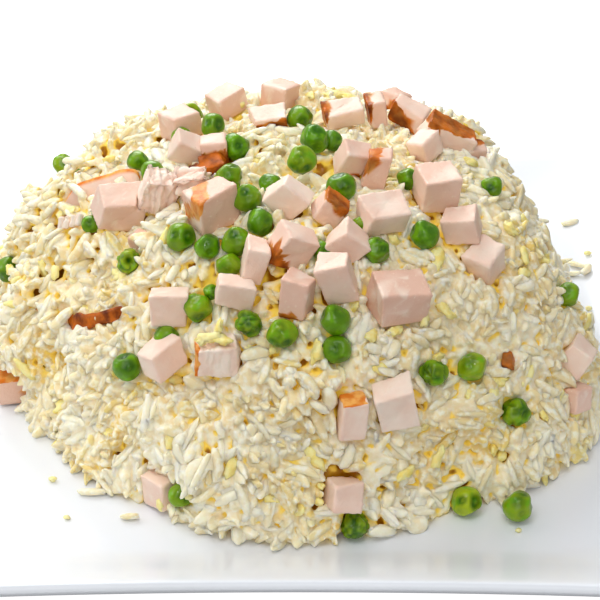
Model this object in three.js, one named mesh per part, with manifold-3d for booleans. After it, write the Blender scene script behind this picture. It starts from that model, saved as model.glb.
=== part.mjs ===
// A helping of fried rice with diced ham and garden peas, heaped on a square white plate.
// Millimetres, +Z up, +X to the right, the eater's side at -Y. The origin is under the middle
// of the plate, on the surface that the plate stands on.
//
// The plate is one loft of a wall section around a rounded square. The rice is one solid: a
// dome whose foot and fullness change with direction, with clumps and grain-sized bumps on it.
// Each die of ham and each whole pea is a solid of its own, seated in a pocket of the rice.
// A few dice and peas that are mostly buried are fused to the rice.

import * as THREE from 'three';
import { mergeVertices } from 'three/addons/utils/BufferGeometryUtils.js';
import Module from 'manifold-3d';

const wasm = await Module();
wasm.setup();

// ---------------------------------------------------------------- driving dimensions (mm)

const PLATE = {
  half: 123.5,          // middle of a side to the middle of the plate
  bow: 3.0,             // how much further out a side runs where it meets its corner
  corner: 27,           // corner radius of the lip
  wellCorner: 30,       // corner radius of the well
  sideSteps: 6,
  cornerSteps: 4,
};

// The plate's wall section: [inset from the lip, height].
const PLATE_SECTION = [
  [0.0, 15.0], [0.7, 16.2], [2.2, 16.6], [9.0, 14.0], [18.0, 10.3], [24.0, 8.4], [28.0, 8.0],
  // the well, then the underside from the middle outwards
  [46.0, 3.4], [43.0, 3.0], [42.4, 0.0], [37.6, 0.0], [37.0, 3.2], [26.0, 4.2],
  [12.0, 9.0], [2.4, 13.0], [0.5, 13.6],
];
const WELL_RINGS = 7;      // section points before the well's middle

const WELL_TOP = 8.0;      // height of the well's surface
const GAP = 0.3;           // clearance between neighbouring pieces
const RICE_UNDER = WELL_TOP + GAP + 0.05;

const HEAP = {
  height: 77.5,            // top of the rice above the well
  // foot radius every 30 degrees, from +X round by +Y
  foot: [93, 91, 91, 92, 100, 108.5, 101, 87, 91, 96.5, 93.5, 98.5],
  full: 3.0,               // fullness of the flank
  fuller: 0.45,            // how much fuller it is at +X than at the front, and less at -X
  ease: 0.68,
  rings: 27,               // rows of grain-sized bumps from the top to the foot
  clump: 2.6,              // height of the clumps
  clumpSize: 21,
  bump: 1.5,               // height of a grain-sized bump
  core: 0.6,               // how far the bare flank lies under the mean surface
};
// Where the heap bulges or is hollow: [x, y, z, reach, height].
const LUMPS = [
  [-84, 14, 58, 17, 6.0], [84, 8, 44, 26, -8.0], [-53, 21, 73, 9, 3.5],
];

// Ham: [name, x, y, lift of the middle above the rice, width, depth, height, yaw, pitch, roll]
// Angles in degrees. Yaw turns about +Z, pitch tips the top to the eater, roll tips it right.
// A lift of 'plate' means that the piece stands on the plate.
const HAM = [
  ['ham_01', -23, 30, 2.5, 9.0, 8.5, 8.0, 35, 5, -15],
  ['ham_02', -36.5, 15, 2.5, 9.5, 9.0, 8.5, 40, 0, -5],
  ['ham_03', -33.5, -3.5, 2.5, 10.0, 6.0, 9.5, 10, 25, 30],
  ['ham_04', -41, -19.5, 3.0, 11.0, 9.0, 11.5, 10, 5, 15],
  ['ham_05', -31, -23, 4.0, 11.0, 8.0, 8.5, -10, 10, -15],
  ['ham_06', -25.5, -34, 3.0, 12.5, 10.5, 11.0, 35, 5, -8],
  ['ham_07', -6, 34, 2.5, 9.0, 8.5, 8.0, -35, 0, 4],
  ['ham_08', -9.5, 13, 2.0, 10.5, 8.5, 4.5, 8, 8, -4],
  ['ham_09', 13, 16, 2.0, 11.0, 7.5, 6.0, 12, 12, -6],
  ['ham_10', 23.5, 18, 2.5, 5.5, 7.5, 9.0, 8, 0, -8],
  ['ham_11', 33.5, 19, 2.5, 10.0, 8.0, 6.5, -20, 5, 18],
  ['ham_12', 45, 7, 3.0, 17.0, 7.5, 8.5, 0, 8, 27],
  ['ham_13', 39.5, -27, 3.5, 11.0, 10.5, 11.5, 14, 8, 6],
  ['ham_14', 15, -17.5, 3.0, 8.0, 6.5, 9.5, 15, 15, 25],
  ['ham_15', 22, -21, 2.5, 6.5, 7.0, 11.0, 0, 0, 15],
  ['ham_16', -3.5, -37, 3.5, 10.0, 7.5, 10.5, -6, 14, 38],
  ['ham_17', 8.5, -40, 2.5, 8.0, 7.0, 8.0, 8, 5, 40],
  ['ham_18', 23.5, -41, 3.5, 13.0, 9.5, 9.0, 25, 18, 12],
  ['ham_19', 13.5, -51, 3.0, 8.5, 7.5, 8.5, 0, 8, 45],
  ['ham_20', -2.5, -53.5, 3.5, 10.0, 8.0, 11.0, 18, 5, 35],
  ['ham_21', -12.5, -55.5, 3.0, 6.5, 7.5, 11.5, 0, 0, 14],
  ['ham_22', -17.5, -62, 3.5, 10.0, 7.5, 7.0, 5, 5, 12],
  ['ham_23', 10.5, -62, 4.0, 9.5, 8.5, 12.5, -5, 5, -15],
  ['ham_24', -0.5, -66, 3.5, 8.0, 7.5, 12.0, -22, 0, 7],
  ['ham_25', 27, -62.5, 3.5, 15.0, 11.0, 10.5, 25, 8, 10],
  ['ham_26', -37, -57.5, 3.5, 11.0, 8.0, 9.5, 4, 0, 1],
  ['ham_27', -38.5, -66.5, 3.5, 11.0, 9.0, 8.5, 38, 0, -22],
  ['ham_28', -23, -73, 3.5, 13.0, 9.0, 10.0, 4, 0, -2],
  ['ham_29', 46.5, -38, 3.0, 10.0, 8.0, 7.5, -12, 5, -12],
  ['ham_30', 14.5, -85, 3.5, 7.0, 8.0, 11.5, 5, 0, 4],
  ['ham_31', 26.5, -80.5, 3.5, 11.0, 8.5, 12.0, 12, 5, -12],
  ['ham_32', -39, -77.5, 'plate', 9.0, 8.5, 10.0, -40, 0, -3],
  ['ham_33', 81, -43.5, 2.0, 8.5, 8.5, 9.5, -20, 5, 32],
  ['ham_34', -88.5, -24, 'plate', 9.5, 7.5, 9.0, 12, 0, -3],
  ['ham_35', -53.5, -18, 3.5, 12.5, 10.0, 11.5, 20, 15, 18],
];
const TORN = ['ham_04', 'ham_05', 'ham_28'];     // pulled apart along the grain

// Peas: [name, x, y, lift, diameter]
const PEAS = [
  ['pea_01', -75.5, 31, 4.5, 7.0],
  ['pea_02', -49.5, -36.5, 2.5, 8.0],
  ['pea_03', -26.5, 9, 2.5, 7.5],
  ['pea_04', -20.5, -22.5, 2.5, 8.6],
  ['pea_05', -15.5, -33.5, 2.5, 8.8],
  ['pea_06', 4.5, -4, 3.0, 9.4],
  ['pea_07', 0.5, -18, 3.0, 8.8],
  ['pea_08', 12, -30.5, 2.5, 8.6],
  ['pea_09', 35, -44.5, 3.0, 8.6],
  ['pea_10', 21.5, -52, 2.5, 7.6],
  ['pea_11', 79, -30, 1.5, 7.4],
  ['pea_12', -34, -40.5, 3.0, 8.6],
  ['pea_13', -26, -46.5, 2.5, 7.4],
  ['pea_14', -18, -48, 2.5, 8.6],
  ['pea_15', -14, -69, 2.5, 8.2],
  ['pea_16', -5, -73, 3.0, 8.8],
  ['pea_17', -49, -61, 2.5, 8.2],
  ['pea_18', 9.5, -70, 2.5, 8.8],
  ['pea_19', 37, -72, 2.5, 8.2],
  ['pea_20', 48, -67, 2.5, 8.6],
  ['pea_21', 47, -81.5, 'plate', 8.8],
  ['pea_22', 61.5, -84, 'plate', 8.8],
  ['pea_23', 15, -92.5, 'plate', 8.4],
];

// Fused to the rice, mostly buried: [x, y, lift, size] (ham as a cube, a pea as a ball).
const BURIED_HAM = [
  [-25.5, -5, 1.5, 8.0], [30, 38, 1.5, 8.0], [53, 8, 1.0, 7.0], [37.5, -1.5, 1.0, 8.0],
  [52.5, -44, 0.5, 10.0], [12.5, -92.5, 0.5, 9.0], [81, -49.5, 0.5, 8.0], [-56, -3, 1.5, 9.0],
  [-26, 75, 1.0, 9.0], [24, 78, 1.0, 9.5], [58, 60, 1.0, 9.0], [-48, 72, 1.0, 9.0],
];
const BURIED_PEAS = [
  [-34, 27.5, 0.0, 8.0], [-19, -4, 1.0, 8.5], [-11.5, -42, 1.0, 8.0], [-20, -53, 1.0, 7.5],
  [-28.5, -60, 1.0, 8.5], [0, 13, 1.5, 8.0], [61.5, -66, 0.5, 8.5], [10, -74.5, 0.5, 8.0],
  [-92.5, 7, 1.0, 8.0], [-4, 66, 1.0, 8.5], [-46, 60, 1.0, 8.5], [42, 70, 1.0, 8.5],
  [4, 84, 1.0, 8.5], [74, 40, 1.0, 8.5],
];

const COLOURS = {
  plate: { color: 0xf2f3f4, roughness: 0.12, metalness: 0 },
  rice: { color: 0xf0e7c4, roughness: 0.45, metalness: 0 },
  ham: { color: 0xe9c9b8, roughness: 0.5, metalness: 0 },
  pea: { color: 0x5a9a1c, roughness: 0.3, metalness: 0 },
};

// ---------------------------------------------------------------- helpers

const DEG = Math.PI / 180;

// A repeatable random number generator.
function seeded(seed) {
  let state = seed >>> 0;
  return () => {
    state = (state + 0x6d2b79f5) >>> 0;
    let t = state;
    t = Math.imul(t ^ (t >>> 15), t | 1);
    t ^= t + Math.imul(t ^ (t >>> 7), t | 61);
    return ((t ^ (t >>> 14)) >>> 0) / 4294967296;
  };
}

// Smooth value noise between -1 and 1 in three dimensions.
function lattice(i, j, k, seed) {
  let h = Math.imul(i, 374761393) ^ Math.imul(j, 668265263) ^ Math.imul(k, 2147483647 - 58)
    ^ Math.imul(seed, 1274126177);
  h = Math.imul(h ^ (h >>> 13), 1103515245);
  h = Math.imul(h ^ (h >>> 16), 2246822519);
  return ((h ^ (h >>> 15)) >>> 0) / 2147483648 - 1;
}

function noise(x, y, z, seed) {
  const i = Math.floor(x), j = Math.floor(y), k = Math.floor(z);
  const ease = (t) => t * t * (3 - 2 * t);
  const u = ease(x - i), v = ease(y - j), w = ease(z - k);
  let sum = 0;
  for (let a = 0; a < 2; a++) {
    for (let b = 0; b < 2; b++) {
      for (let c = 0; c < 2; c++) {
        const share = (a ? u : 1 - u) * (b ? v : 1 - v) * (c ? w : 1 - w);
        sum += share * lattice(i + a, j + b, k + c, seed);
      }
    }
  }
  return sum;
}

// A closed triangle mesh becomes a solid that can be joined and cut, and goes back again.
function solidOf(geometry) {
  const bare = geometry.clone();
  bare.deleteAttribute('normal');
  bare.deleteAttribute('uv');
  const merged = mergeVertices(bare, 1e-4);
  return new wasm.Manifold(new wasm.Mesh({
    numProp: 3,
    vertProperties: new Float32Array(merged.attributes.position.array),
    triVerts: new Uint32Array(merged.index.array),
  }));
}

function geometryOf(solid) {
  const mesh = solid.getMesh();
  const geometry = new THREE.BufferGeometry();
  const step = mesh.numProp;
  const points = new Float32Array(mesh.vertProperties.length / step * 3);
  for (let i = 0; i < points.length / 3; i++) {
    for (let a = 0; a < 3; a++) points[3 * i + a] = mesh.vertProperties[step * i + a];
  }
  geometry.setAttribute('position', new THREE.BufferAttribute(points, 3));
  geometry.setIndex(new THREE.BufferAttribute(new Uint32Array(mesh.triVerts), 1));
  return geometry;
}

// The largest body of a solid: loose scraps are dropped.
function largest(solid) {
  const bodies = solid.decompose();
  return bodies.sort((a, b) => b.volume() - a.volume())[0];
}

function geometryFrom(points, faces) {
  const geometry = new THREE.BufferGeometry();
  geometry.setAttribute('position', new THREE.BufferAttribute(new Float32Array(points.flat()), 3));
  geometry.setIndex(faces.flat());
  return geometry;
}

const group = new THREE.Group();

function addPiece(name, geometry, look) {
  const clean = geometry.clone();
  clean.computeVertexNormals();
  const mesh = new THREE.Mesh(clean, new THREE.MeshStandardMaterial(look));
  mesh.name = name;
  group.add(mesh);
}

// ---------------------------------------------------------------- the plate

// One ring of the plate: a rounded square, inset from the lip, with sides that bow in.
function plateRing(inset, height) {
  const reach = PLATE.half - inset;
  const share = Math.min(1, inset / 28);
  const radius = PLATE.corner + (PLATE.wellCorner - PLATE.corner) * share;
  const bow = PLATE.bow * (1 - share);
  const straight = reach + bow - radius;
  const ring = [];
  for (let side = 0; side < 4; side++) {
    const turn = side * Math.PI / 2;
    const put = (along, out) => ring.push([
      along * Math.cos(turn) + out * Math.sin(turn),
      along * Math.sin(turn) - out * Math.cos(turn), height]);
    for (let i = 0; i < PLATE.sideSteps; i++) {
      const s = -1 + 2 * i / PLATE.sideSteps;
      put(s * straight, reach + bow * s * s);
    }
    for (let i = 0; i < PLATE.cornerSteps; i++) {
      const a = i / PLATE.cornerSteps * Math.PI / 2;
      put(straight + radius * Math.sin(a), reach + bow - radius + radius * Math.cos(a));
    }
  }
  return ring;
}

function plateGeometry() {
  const rings = PLATE_SECTION.map(([inset, height]) => plateRing(inset, height));
  const count = rings[0].length;
  const points = rings.flat();
  const faces = [];
  const strip = (a, b) => {
    for (let i = 0; i < count; i++) {
      const j = (i + 1) % count;
      faces.push([a * count + i, b * count + j, b * count + i]);
      faces.push([a * count + i, a * count + j, b * count + j]);
    }
  };
  const cap = (ring, height, up) => {
    const middle = points.push([0, 0, height]) - 1;
    for (let i = 0; i < count; i++) {
      const j = (i + 1) % count;
      const a = ring * count + i, b = ring * count + j;
      faces.push(up ? [a, b, middle] : [b, a, middle]);
    }
  };
  const last = PLATE_SECTION.length - 1;
  for (let k = 0; k < WELL_RINGS - 1; k++) strip(k, k + 1);
  cap(WELL_RINGS - 1, WELL_TOP, true);
  cap(WELL_RINGS, PLATE_SECTION[WELL_RINGS][1], false);
  for (let k = WELL_RINGS; k < last; k++) strip(k, k + 1);
  strip(last, 0);
  return geometryFrom(points, faces);
}

// ---------------------------------------------------------------- the heap's form

// Foot radius in a direction, eased between the stated ones.
function footRadius(angle) {
  const n = HEAP.foot.length;
  const t = ((angle / (2 * Math.PI)) % 1 + 1) % 1 * n;
  const i = Math.floor(t), f = t - i;
  const [a, b, c, d] = [-1, 0, 1, 2].map((k) => HEAP.foot[(i + k + n) % n]);
  return 0.5 * (2 * b + (c - a) * f + (2 * a - 5 * b + 4 * c - d) * f * f
    + (3 * b - a - 3 * c + d) * f * f * f);
}

// Height of the rice above the well at a share of the foot radius.
function rise(share, angle) {
  const full = HEAP.full + HEAP.fuller * Math.cos(angle);
  return HEAP.height * Math.pow(1 - Math.pow(Math.min(1, share), full), HEAP.ease);
}

// Mean height of the rice above the table at a place.
function domeHeight(x, y) {
  const angle = Math.atan2(y, x);
  return WELL_TOP + rise(Math.hypot(x, y) / footRadius(angle), angle);
}

// Shares of the foot radius that divide the flank into steps of even length.
function flankShares(steps) {
  const curve = [];
  for (let i = 0; i <= 400; i++) {
    const t = Math.sin(i / 400 * Math.PI / 2);
    curve.push([t, rise(t, Math.PI / 2)]);
  }
  const length = [0];
  for (let i = 1; i < curve.length; i++) {
    const dr = (curve[i][0] - curve[i - 1][0]) * 95, dz = curve[i][1] - curve[i - 1][1];
    length.push(length[i - 1] + Math.hypot(dr, dz));
  }
  const out = [];
  for (let k = 0, i = 0; k <= steps; k++) {
    const want = length[400] * k / steps;
    while (i < 399 && length[i + 1] < want) i++;
    const f = (want - length[i]) / (length[i + 1] - length[i]);
    out.push(curve[i][0] + (curve[i + 1][0] - curve[i][0]) * f);
  }
  return out;
}

// ---------------------------------------------------------------- toppings

function turned(yaw, pitch, roll) {
  return new THREE.Matrix4().makeRotationY(roll * DEG)
    .multiply(new THREE.Matrix4().makeRotationX(pitch * DEG))
    .multiply(new THREE.Matrix4().makeRotationZ(yaw * DEG));
}

// A hand-cut die: a box with uneven corners. A torn one has lumps and hollows too.
function dieGeometry(width, depth, height, random, torn) {
  const steps = torn ? 3 : 1;
  const box = new THREE.BoxGeometry(width, depth, height, steps, steps, steps);
  box.deleteAttribute('normal');
  box.deleteAttribute('uv');
  const geometry = mergeVertices(box, 1e-4);
  const shift = Array.from({ length: 8 }, () => [0, 1, 2].map(() => (random() - 0.5) * 2));
  const p = geometry.attributes.position;
  const seed = Math.floor(random() * 1000);
  for (let i = 0; i < p.count; i++) {
    const u = p.getX(i) / width + 0.5, v = p.getY(i) / depth + 0.5, w = p.getZ(i) / height + 0.5;
    const move = [0, 0, 0];
    for (let c = 0; c < 8; c++) {
      const share = (c & 1 ? u : 1 - u) * (c & 2 ? v : 1 - v) * (c & 4 ? w : 1 - w);
      for (let a = 0; a < 3; a++) move[a] += share * shift[c][a];
    }
    const size = [width, depth, height];
    const q = [p.getX(i), p.getY(i), p.getZ(i)].map((value, a) => value + move[a] * size[a] * 0.09);
    if (torn) {
      const out = 1 + 0.14 * noise(q[0] / 4.5, q[1] / 4.5, q[2] / 4.5, seed)
        - 0.05 * (Math.abs(u - 0.5) + Math.abs(v - 0.5) + Math.abs(w - 0.5));
      q.forEach((value, a) => { q[a] = value * out; });
    }
    p.setXYZ(i, ...q);
  }
  return geometry;
}

// A cooked pea: a ball, a little flattened, with a few shallow lumps.
function peaGeometry(diameter, random) {
  const geometry = mergeVertices((() => {
    const ball = new THREE.IcosahedronGeometry(diameter / 2, 1);
    ball.deleteAttribute('normal');
    ball.deleteAttribute('uv');
    return ball;
  })(), 1e-4);
  const seed = Math.floor(random() * 1000);
  const p = geometry.attributes.position;
  for (let i = 0; i < p.count; i++) {
    const q = [p.getX(i), p.getY(i), p.getZ(i)];
    const out = 1.02 + 0.06 * noise(q[0] / 3, q[1] / 3, q[2] / 3, seed);
    p.setXYZ(i, q[0] * out, q[1] * out, q[2] * out * 0.94);
  }
  geometry.applyMatrix4(turned(random() * 360, random() * 60 - 30, random() * 60 - 30));
  return geometry;
}

// Moves a piece so that its middle is over (x, y), at a lift over the rice or on the plate.
function placed(geometry, x, y, lift) {
  geometry.computeBoundingBox();
  const z = lift === 'plate' ? WELL_TOP + GAP - geometry.boundingBox.min.z
    : domeHeight(x, y) + lift;
  geometry.translate(x, y, z);
  return geometry;
}

// The same piece a little larger, about its own middle.
function swollen(geometry, by) {
  const copy = geometry.clone();
  copy.computeBoundingBox();
  const middle = copy.boundingBox.getCenter(new THREE.Vector3());
  const size = copy.boundingBox.getSize(new THREE.Vector3());
  const half = (size.x + size.y + size.z) / 6;
  copy.translate(-middle.x, -middle.y, -middle.z);
  copy.scale(1 + by / half * 1.6, 1 + by / half * 1.6, 1 + by / half * 1.6);
  copy.translate(middle.x, middle.y, middle.z);
  return copy;
}

const toppings = [];
HAM.forEach(([name, x, y, lift, width, depth, height, yaw, pitch, roll], i) => {
  const die = dieGeometry(width, depth, height, seeded(100 + i), TORN.includes(name));
  die.applyMatrix4(turned(yaw, pitch, roll));
  toppings.push({ name, geometry: placed(die, x, y, lift), look: COLOURS.ham });
});
PEAS.forEach(([name, x, y, lift, diameter], i) => {
  const pea = peaGeometry(diameter, seeded(500 + i));
  toppings.push({ name, geometry: placed(pea, x, y, lift), look: COLOURS.pea });
});

// Where two toppings press on each other, the later one gives way.
for (const [i, piece] of toppings.entries()) {
  piece.geometry.computeBoundingBox();
  piece.box = piece.geometry.boundingBox.clone().expandByScalar(GAP);
  piece.swollen = solidOf(swollen(piece.geometry, GAP));
  piece.solid = solidOf(piece.geometry);
  const whole = piece.solid.volume();
  for (const other of toppings.slice(0, i)) {
    if (!piece.box.intersectsBox(other.box)) continue;
    piece.solid = piece.solid.subtract(other.swollen);
  }
  piece.solid = largest(piece.solid);
  piece.cut = 1 - piece.solid.volume() / whole;
}

// ---------------------------------------------------------------- the rice

// Concentric six-sided rows of points on the flank: row k has 6k points. Pairs of neighbours
// are lifted as grain-sized bumps, away from toppings.
function riceGeometry() {
  const n = HEAP.rings;
  const shares = flankShares(n);
  const rows = [[0]];
  const bare = [[0, 0, WELL_TOP + HEAP.height]];
  for (let k = 1; k <= n; k++) {
    rows.push([]);
    for (let i = 0; i < 6 * k; i++) {
      const angle = (i / (6 * k) + 0.013 * k) * 2 * Math.PI;
      const ragged = k > n - 3 ? 2.2 * noise(Math.cos(angle) * 9, Math.sin(angle) * 9, 0, 5) : 0;
      const radius = shares[k] * footRadius(angle) + ragged;
      rows[k].push(bare.length);
      bare.push([radius * Math.cos(angle), radius * Math.sin(angle),
        WELL_TOP + rise(shares[k], angle)]);
    }
  }
  const faces = [];
  const links = bare.map(() => []);
  for (let k = 1; k <= n; k++) {
    const inner = rows[k - 1], outer = rows[k];
    let i = 0, j = 0;
    while (i < outer.length || j < inner.length) {
      // the row that lags behind takes the next step
      const stepOuter = k === 1 || (i + 1) / outer.length <= (j + 1) / inner.length + 1e-9;
      const a = outer[i % outer.length], b = inner[j % inner.length];
      if (stepOuter && i < outer.length) {
        faces.push([a, outer[(i + 1) % outer.length], b]);
        links[a].push(outer[(i + 1) % outer.length], b);
        i++;
      } else {
        faces.push([a, inner[(j + 1) % inner.length], b]);
        links[b].push(inner[(j + 1) % inner.length]);
        j++;
      }
      if (k === 1 && i >= outer.length) break;
    }
  }
  // outward directions of the bare flank
  const form = geometryFrom(bare, faces);
  form.computeVertexNormals();
  const normal = form.attributes.normal;

  // grain-sized bumps: pairs of linked points, none next to a topping
  const random = seeded(7);
  const height = bare.map(() => -HEAP.bump * (0.35 + 0.3 * random()));
  const taken = bare.map((p) => toppings.some((t) => t.box.distanceToPoint(
    new THREE.Vector3(...p)) < 1.2));
  const order = bare.map((_, i) => [random(), i]).sort((a, b) => a[0] - b[0]).map((e) => e[1]);
  for (const i of order) {
    if (taken[i]) continue;
    const free = links[i].filter((j) => !taken[j]);
    if (!free.length) continue;
    const j = free[Math.floor(random() * free.length)];
    const rise = HEAP.bump * (0.6 + 0.6 * random());
    height[i] = rise;
    height[j] = rise * (0.8 + 0.4 * random());
    taken[i] = taken[j] = true;
    for (const near of [...links[i], ...links[j]]) {
      if (random() < 0.55) taken[near] = true;
    }
  }
  const points = bare.map((p, i) => {
    const s = HEAP.clumpSize;
    const clump = HEAP.clump * (noise(p[0] / s, p[1] / s, p[2] / s, 11)
      + 0.5 * noise(p[0] * 2.2 / s, p[1] * 2.2 / s, p[2] * 2.2 / s, 12))
      + LUMPS.reduce((sum, [x, y, z, reach, height]) => sum + height
        * Math.exp(-((p[0] - x) ** 2 + (p[1] - y) ** 2 + (p[2] - z) ** 2) / reach ** 2), 0);
    const fade = Math.min(1, (p[2] - WELL_TOP) / 8);
    const out = (height[i] + clump - HEAP.core) * fade;
    return [p[0] + normal.getX(i) * out, p[1] + normal.getY(i) * out,
      Math.max(p[2] + normal.getZ(i) * out, RICE_UNDER)];
  });
  // a short upright wall down to the plate, and a flat underside
  const foot = rows[n].map((i) => {
    points[i][2] = RICE_UNDER + 1.4;
    return points.push([points[i][0] * 0.985, points[i][1] * 0.985, RICE_UNDER]) - 1;
  });
  const middle = points.push([0, 0, RICE_UNDER]) - 1;
  rows[n].forEach((a, i) => {
    const j = (i + 1) % foot.length, b = rows[n][j];
    faces.push([a, foot[i], foot[j]], [a, foot[j], b]);
    faces.push([foot[i], middle, foot[j]]);
  });
  return geometryFrom(points, faces);
}

let rice = solidOf(riceGeometry());
BURIED_HAM.forEach(([x, y, lift, size], i) => {
  const random = seeded(900 + i);
  const die = dieGeometry(size, size * 0.9, size * 0.95, random, false);
  die.applyMatrix4(turned(random() * 90, random() * 40 - 20, random() * 60 - 30));
  rice = rice.add(solidOf(placed(die, x, y, lift)));
});
BURIED_PEAS.forEach(([x, y, lift, size]) => {
  const ball = new THREE.IcosahedronGeometry(size * 0.54, 0);
  rice = rice.add(solidOf(placed(ball, x, y, lift)));
});
for (const piece of toppings) rice = rice.subtract(piece.swollen);
// at its foot the rice lies up against the rim
rice = rice.subtract(solidOf(plateGeometry().translate(0, 0, GAP)));
rice = largest(rice);

// ---------------------------------------------------------------- the group

addPiece('plate', plateGeometry(), COLOURS.plate);
addPiece('rice', geometryOf(rice), COLOURS.rice);
for (const piece of toppings) addPiece(piece.name, geometryOf(piece.solid), piece.look);

export default group;
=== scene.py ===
# %% [markdown]
# # A plate of fried rice
#
# A helping of fried rice is thousands of small things lying against each other. The frame gives
# the plate, the heap as one bumpy solid, and each whole die and pea. This lesson rebuilds all of
# them in full detail, in place. Lengths are in millimetres until a mesh is made.

# %% Load the frame
import math

import bpy
import numpy as np
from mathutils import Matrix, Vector
from mathutils.kdtree import KDTree


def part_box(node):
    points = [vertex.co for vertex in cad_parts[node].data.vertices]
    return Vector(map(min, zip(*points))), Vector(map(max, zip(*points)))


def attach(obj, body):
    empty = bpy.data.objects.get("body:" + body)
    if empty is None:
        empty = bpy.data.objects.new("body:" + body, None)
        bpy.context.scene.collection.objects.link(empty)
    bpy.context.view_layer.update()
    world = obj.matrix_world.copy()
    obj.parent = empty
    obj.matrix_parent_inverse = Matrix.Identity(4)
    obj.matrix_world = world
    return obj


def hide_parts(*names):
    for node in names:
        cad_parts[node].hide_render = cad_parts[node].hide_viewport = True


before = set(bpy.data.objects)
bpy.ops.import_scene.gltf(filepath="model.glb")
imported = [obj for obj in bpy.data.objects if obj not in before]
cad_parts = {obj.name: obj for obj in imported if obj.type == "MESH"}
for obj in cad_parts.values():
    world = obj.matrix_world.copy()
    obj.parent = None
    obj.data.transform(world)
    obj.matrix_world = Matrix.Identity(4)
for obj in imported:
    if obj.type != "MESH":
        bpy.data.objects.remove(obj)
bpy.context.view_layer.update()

NODES = sorted(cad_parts)
print(len(NODES), "nodes in the frame")

# %% [markdown]
# ## Chance that repeats
#
# Food is uneven, so nearly every shape is pushed about by noise: each corner of a grid of cells
# gets a number, and the eight numbers around a point are blended. The numbers come from a hash,
# so that every run gives the same plate.

# %% Noise
def hashed(i, j, k, seed):
    """A number from -1 to 1 for the corner (i, j, k): products of primes, mixed by shifts."""
    i, j, k = [np.asarray(a).astype(np.int64).astype(np.uint32) for a in (i, j, k)]
    h = (i * np.uint32(374761393) ^ j * np.uint32(668265263) ^ k * np.uint32(2147483589)
         ^ np.uint32(seed * 1274126177 & 0xFFFFFFFF))
    for shift, prime in ((13, 1103515245), (16, 2246822519)):
        h = (h ^ (h >> np.uint32(shift))) * np.uint32(prime)
    return (h ^ (h >> np.uint32(15))).astype(float) / 2147483648 - 1


def noise(p, seed=0):
    """Sum over a cell's corners of share * hash, share = product of e or 1 - e on each axis,
    with e = t*t*(3 - 2t) of the place t in the cell."""
    p = np.asarray(p, float)
    low = np.floor(p)
    e = (p - low) ** 2 * (3 - 2 * (p - low))
    total = 0
    for corner in np.ndindex(2, 2, 2):
        share = np.prod(np.where(corner, e, 1 - e), axis=-1)
        total = total + share * hashed(*np.moveaxis(low + corner, -1, 0), seed)
    return total


def unit(v):
    """v / |v|"""
    return v / np.maximum(np.linalg.norm(v, axis=-1, keepdims=True), 1e-9)


def far(p, q):
    """|p - q|"""
    return np.linalg.norm(p - q, axis=-1)


def ramp(t, low, high):
    """0 below low, 1 above high, and s*s*(3 - 2s) in between."""
    s = np.clip((t - low) / (high - low), 0, 1)
    return s * s * (3 - 2 * s)


rng = np.random.default_rng(20)
print("noise at the middle of a cell:", round(float(noise([0.5, 0.5, 0.5], 3)), 3))

# %% [markdown]
# ## Colours and a shared effect
#
# Colours are given as screen values from 0 to 255 and made linear for Blender's sockets.
# One node group, Mottle, is in every material: it turns a noise of a given size into a mask,
# which keeps food from looking like plastic. The helpers add nodes to the tree that is open,
# which is the newest group's or material's.

# %% Material helpers
def colour(red, green, blue):
    """Screen values to linear light: ((c + 0.055) / 1.055) ** 2.4 above 0.04045."""
    c = np.array([red, green, blue]) / 255
    return (*np.where(c <= 0.04045, c / 12.92, ((c + 0.055) / 1.055) ** 2.4), 1.0)


def add(kind, settings=(), **inputs):
    """Adds a node. Each input is set, or linked where it is given another node's output. An
    input called i and a number is found by that number."""
    new = tree.nodes.new(kind)
    for key, value in dict(settings).items():
        setattr(new, key, value)
    for key, value in inputs.items():
        by_number = key[0] == "i" and key[1:].isdigit()
        socket = new.inputs[int(key[1:]) if by_number else key.replace("_", " ")]
        if isinstance(value, bpy.types.NodeSocket):
            tree.links.new(value, socket)
        else:
            socket.default_value = value
    return new


def mix(factor, a, b):
    """The colour a * (1 - factor) + b * factor, each a node's output or (red, green, blue)."""
    a, b = [colour(*c) if isinstance(c, tuple) else c for c in (a, b)]
    return add("ShaderNodeMix", {"data_type": "RGBA"}, i0=factor, i6=a, i7=b).outputs[2]


def between(value, low, high):
    """Eases a value from low..high to 0..1."""
    return add("ShaderNodeMapRange", {"interpolation_type": "SMOOTHSTEP"}, Value=value, From_Min=low,
               From_Max=high).outputs[0]


def mark(name):
    """The value that a mesh carries at each point under this name."""
    return add("ShaderNodeAttribute", {"attribute_name": name}).outputs["Fac"]


# Mottle: object coordinates * 1000 / Size -> noise -> eased from Low..High to 0..1
MOTTLE = tree = bpy.data.node_groups.new("Mottle", "ShaderNodeTree")
for name, value in (("Size", 1.0), ("Low", 0.4), ("High", 0.6), ("Detail", 2.0)):
    socket = tree.interface.new_socket(name, in_out="INPUT", socket_type="NodeSocketFloat")
    socket.default_value = value
tree.interface.new_socket("Mask", in_out="OUTPUT", socket_type="NodeSocketFloat")
get = add("NodeGroupInput").outputs
scale = add("ShaderNodeMath", {"operation": "DIVIDE"}, i0=1000.0, i1=get["Size"]).outputs[0]
cloud = add("ShaderNodeTexNoise", Vector=add("ShaderNodeTexCoord").outputs["Object"], Scale=scale,
            Detail=get["Detail"]).outputs[0]
add("NodeGroupOutput", i0=between(cloud, get["Low"], get["High"]))


def mottle(size, low=0.4, high=0.6, detail=2.0):
    """One placing of the Mottle group, with patches of about this size in millimetres."""
    return add("ShaderNodeGroup", {"node_tree": MOTTLE}, Size=size, Low=low, High=high,
               Detail=detail).outputs[0]


def material(name, *preview):
    """A new material, whose tree is now the open one."""
    global tree
    new = bpy.data.materials.new(name)
    new.use_nodes = True
    new.diffuse_color = colour(*preview)
    tree = new.node_tree
    return new


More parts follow.
